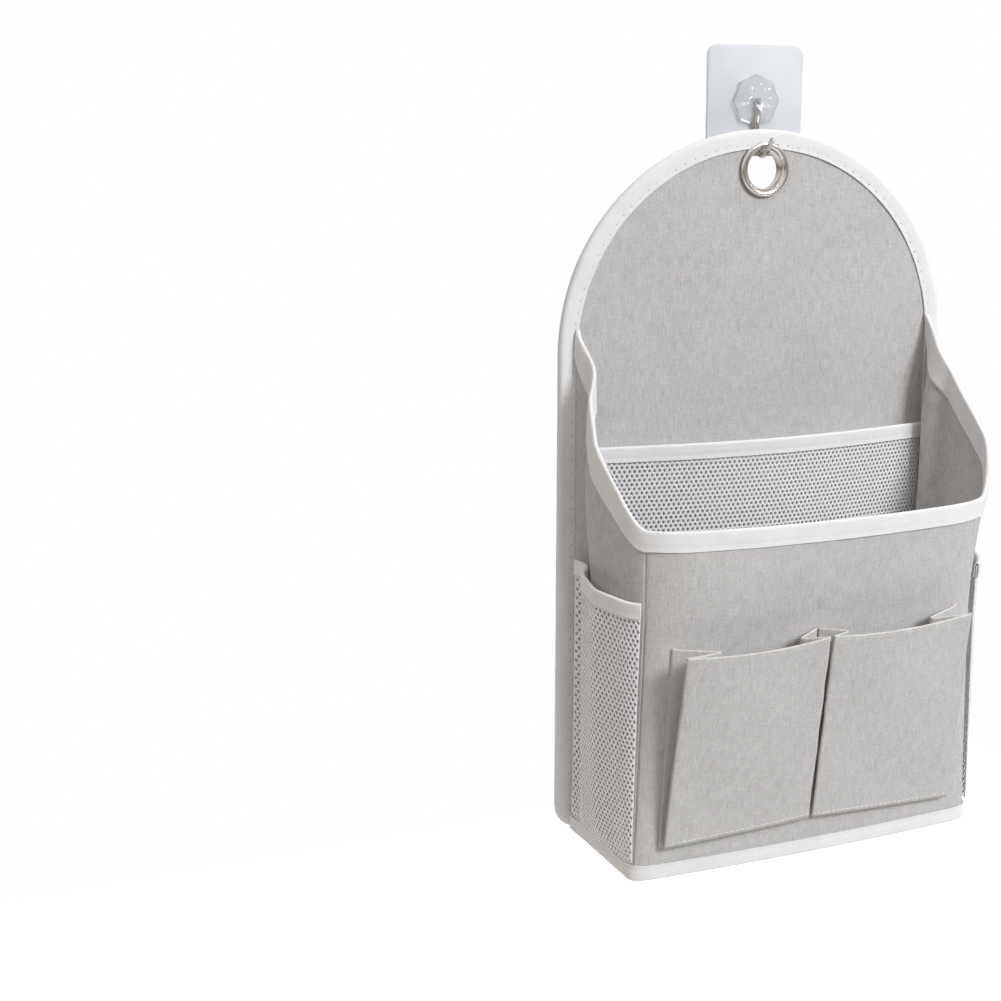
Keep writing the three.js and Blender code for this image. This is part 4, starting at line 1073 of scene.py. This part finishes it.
def camera():
    made = in_scene("camera", bpy.data.cameras.new("camera"))
    made.data.sensor_width = SENSOR
    made.data.sensor_fit = "HORIZONTAL"
    made.data.lens = FOCAL_PIXELS * SENSOR / PHOTO_PIXELS
    made.data.clip_start = 0.01
    place = Vector((np.array(CAMERA_PLACE) + CADDY_AT) * MM)
    made.matrix_world = look_matrix(place, CAMERA_YAW, CAMERA_PITCH, CAMERA_ROLL)
    bpy.context.scene.camera = made


def area_light(name, place, size, power, colour):
    lamp = bpy.data.lights.new(name, "AREA")
    lamp.size = size
    lamp.energy = power
    lamp.color = colour
    made = in_scene(name, lamp)
    made.location = place
    made.rotation_euler = (Vector(AIM) - Vector(place)).to_track_quat("-Z", "Y").to_euler()


def studio_world():
    """White behind the object, and for its light a dim room, darker low down and brighter above."""
    world = bpy.data.worlds.new("studio")
    bpy.context.scene.world = world
    world.use_nodes = True
    tree = world.node_tree
    seen = tree.nodes["Background"]
    seen.inputs["Color"].default_value = (1, 1, 1, 1)
    split = node(tree, "ShaderNodeSeparateXYZ")
    tree.links.new(node(tree, "ShaderNodeTexCoord").outputs["Generated"], split.inputs[0])
    half = node(tree, "ShaderNodeMath", operation="MULTIPLY_ADD")
    tree.links.new(split.outputs["Z"], half.inputs[0])
    half.inputs[1].default_value = 0.5
    half.inputs[2].default_value = 0.5
    dim = (0.26, 0.23, 0.19)
    room = ramp(tree, half.outputs[0], [(0.42, (0, 0, 0)), (0.50, dim), (0.60, dim),
                                        (0.70, (1, 0.975, 0.95))])
    mirrored = ramp(tree, half.outputs[0], [(0.30, (0.75, 0.73, 0.70)), (0.47, (0.20, 0.19, 0.18)),
                                            (0.55, (0.55, 0.54, 0.53)), (0.75, (1, 1, 1))])
    path = node(tree, "ShaderNodeLightPath")
    shown = seen.outputs[0]
    for sky, ray in ((mirrored, "Is Glossy Ray"), (room, "Is Diffuse Ray")):
        light = node(tree, "ShaderNodeBackground", Strength=WORLD_LIGHT)
        tree.links.new(sky, light.inputs["Color"])
        either = node(tree, "ShaderNodeMixShader")
        tree.links.new(path.outputs[ray], either.inputs[0])
        tree.links.new(shown, either.inputs[1])
        tree.links.new(light.outputs[0], either.inputs[2])
        shown = either.outputs[0]
    tree.links.new(shown, tree.nodes["World Output"].inputs["Surface"])


def stage():
    studio_world()
    mesh = bpy.data.meshes.new("floor")
    ends = ((-1, -1), (1, -1), (1, 1), (-1, 1))
    corners = [(x * FLOOR_HALF, y * FLOOR_HALF, FLOOR_HEIGHT) for x, y in ends]
    mesh.from_pydata(corners, [], [(0, 1, 2, 3)])
    material, tree, shader = principled("pale_floor", {"Roughness": 0.9, "Base Color": (0.9, 0.9, 0.9, 1),
                                                       "Emission Color": (1, 1, 1, 1)})
    seen = node(tree, "ShaderNodeLightPath").outputs["Is Camera Ray"]
    tree.links.new(seen, shader.inputs["Emission Strength"])
    mesh.materials.append(material)
    in_scene("floor", mesh)
    turn, rise = math.radians(KEY_AZIMUTH), math.radians(KEY_ELEVATION)
    away = Vector((math.cos(rise) * math.sin(turn), -math.cos(rise) * math.cos(turn), math.sin(rise)))
    area_light("key", Vector(AIM) + KEY_DISTANCE * away, KEY_SIZE, KEY_POWER, KEY_COLOUR)
    area_light("fill", FILL_PLACE, FILL_SIZE, FILL_POWER, FILL_COLOUR)


camera()
stage()
bpy.context.scene.view_settings.view_transform = "Standard"

for board in ("back_board", "bottom_board"):
    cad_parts[board].data.materials.clear()
    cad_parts[board].data.materials.append(BOARD)

back_sheet("back_cloth", CLOTH / 2, CLOTH, GREY_CLOTH, CLOTH_RIPPLE, 1, "back_panel_cloth")
back_sheet("back_lining_cloth", PANEL - LINER / 2, LINER, LINING, LINING_RIPPLE, -1, "back_lining")
edge_tape()
wall_sheet("left_wall", -WALL_RUN, -MOUTH_HALF, "left_side_panel")
wall_sheet("front_wall", -MOUTH_HALF, MOUTH_HALF, "front_panel")
wall_sheet("right_wall", MOUTH_HALF, WALL_RUN, "right_side_panel")
mouth_tape()
bottom_tape()
bottom_cloth()
inner_net()
side_nets()
pockets()
eyelet()
rounded_plate("glue_pad", PAD_BEVEL, GLUE, "wall_pad")
rounded_plate("clear_plate", PLATE_BEVEL, CLEAR, "hook_plate")
hook_boss()
hook_wire()
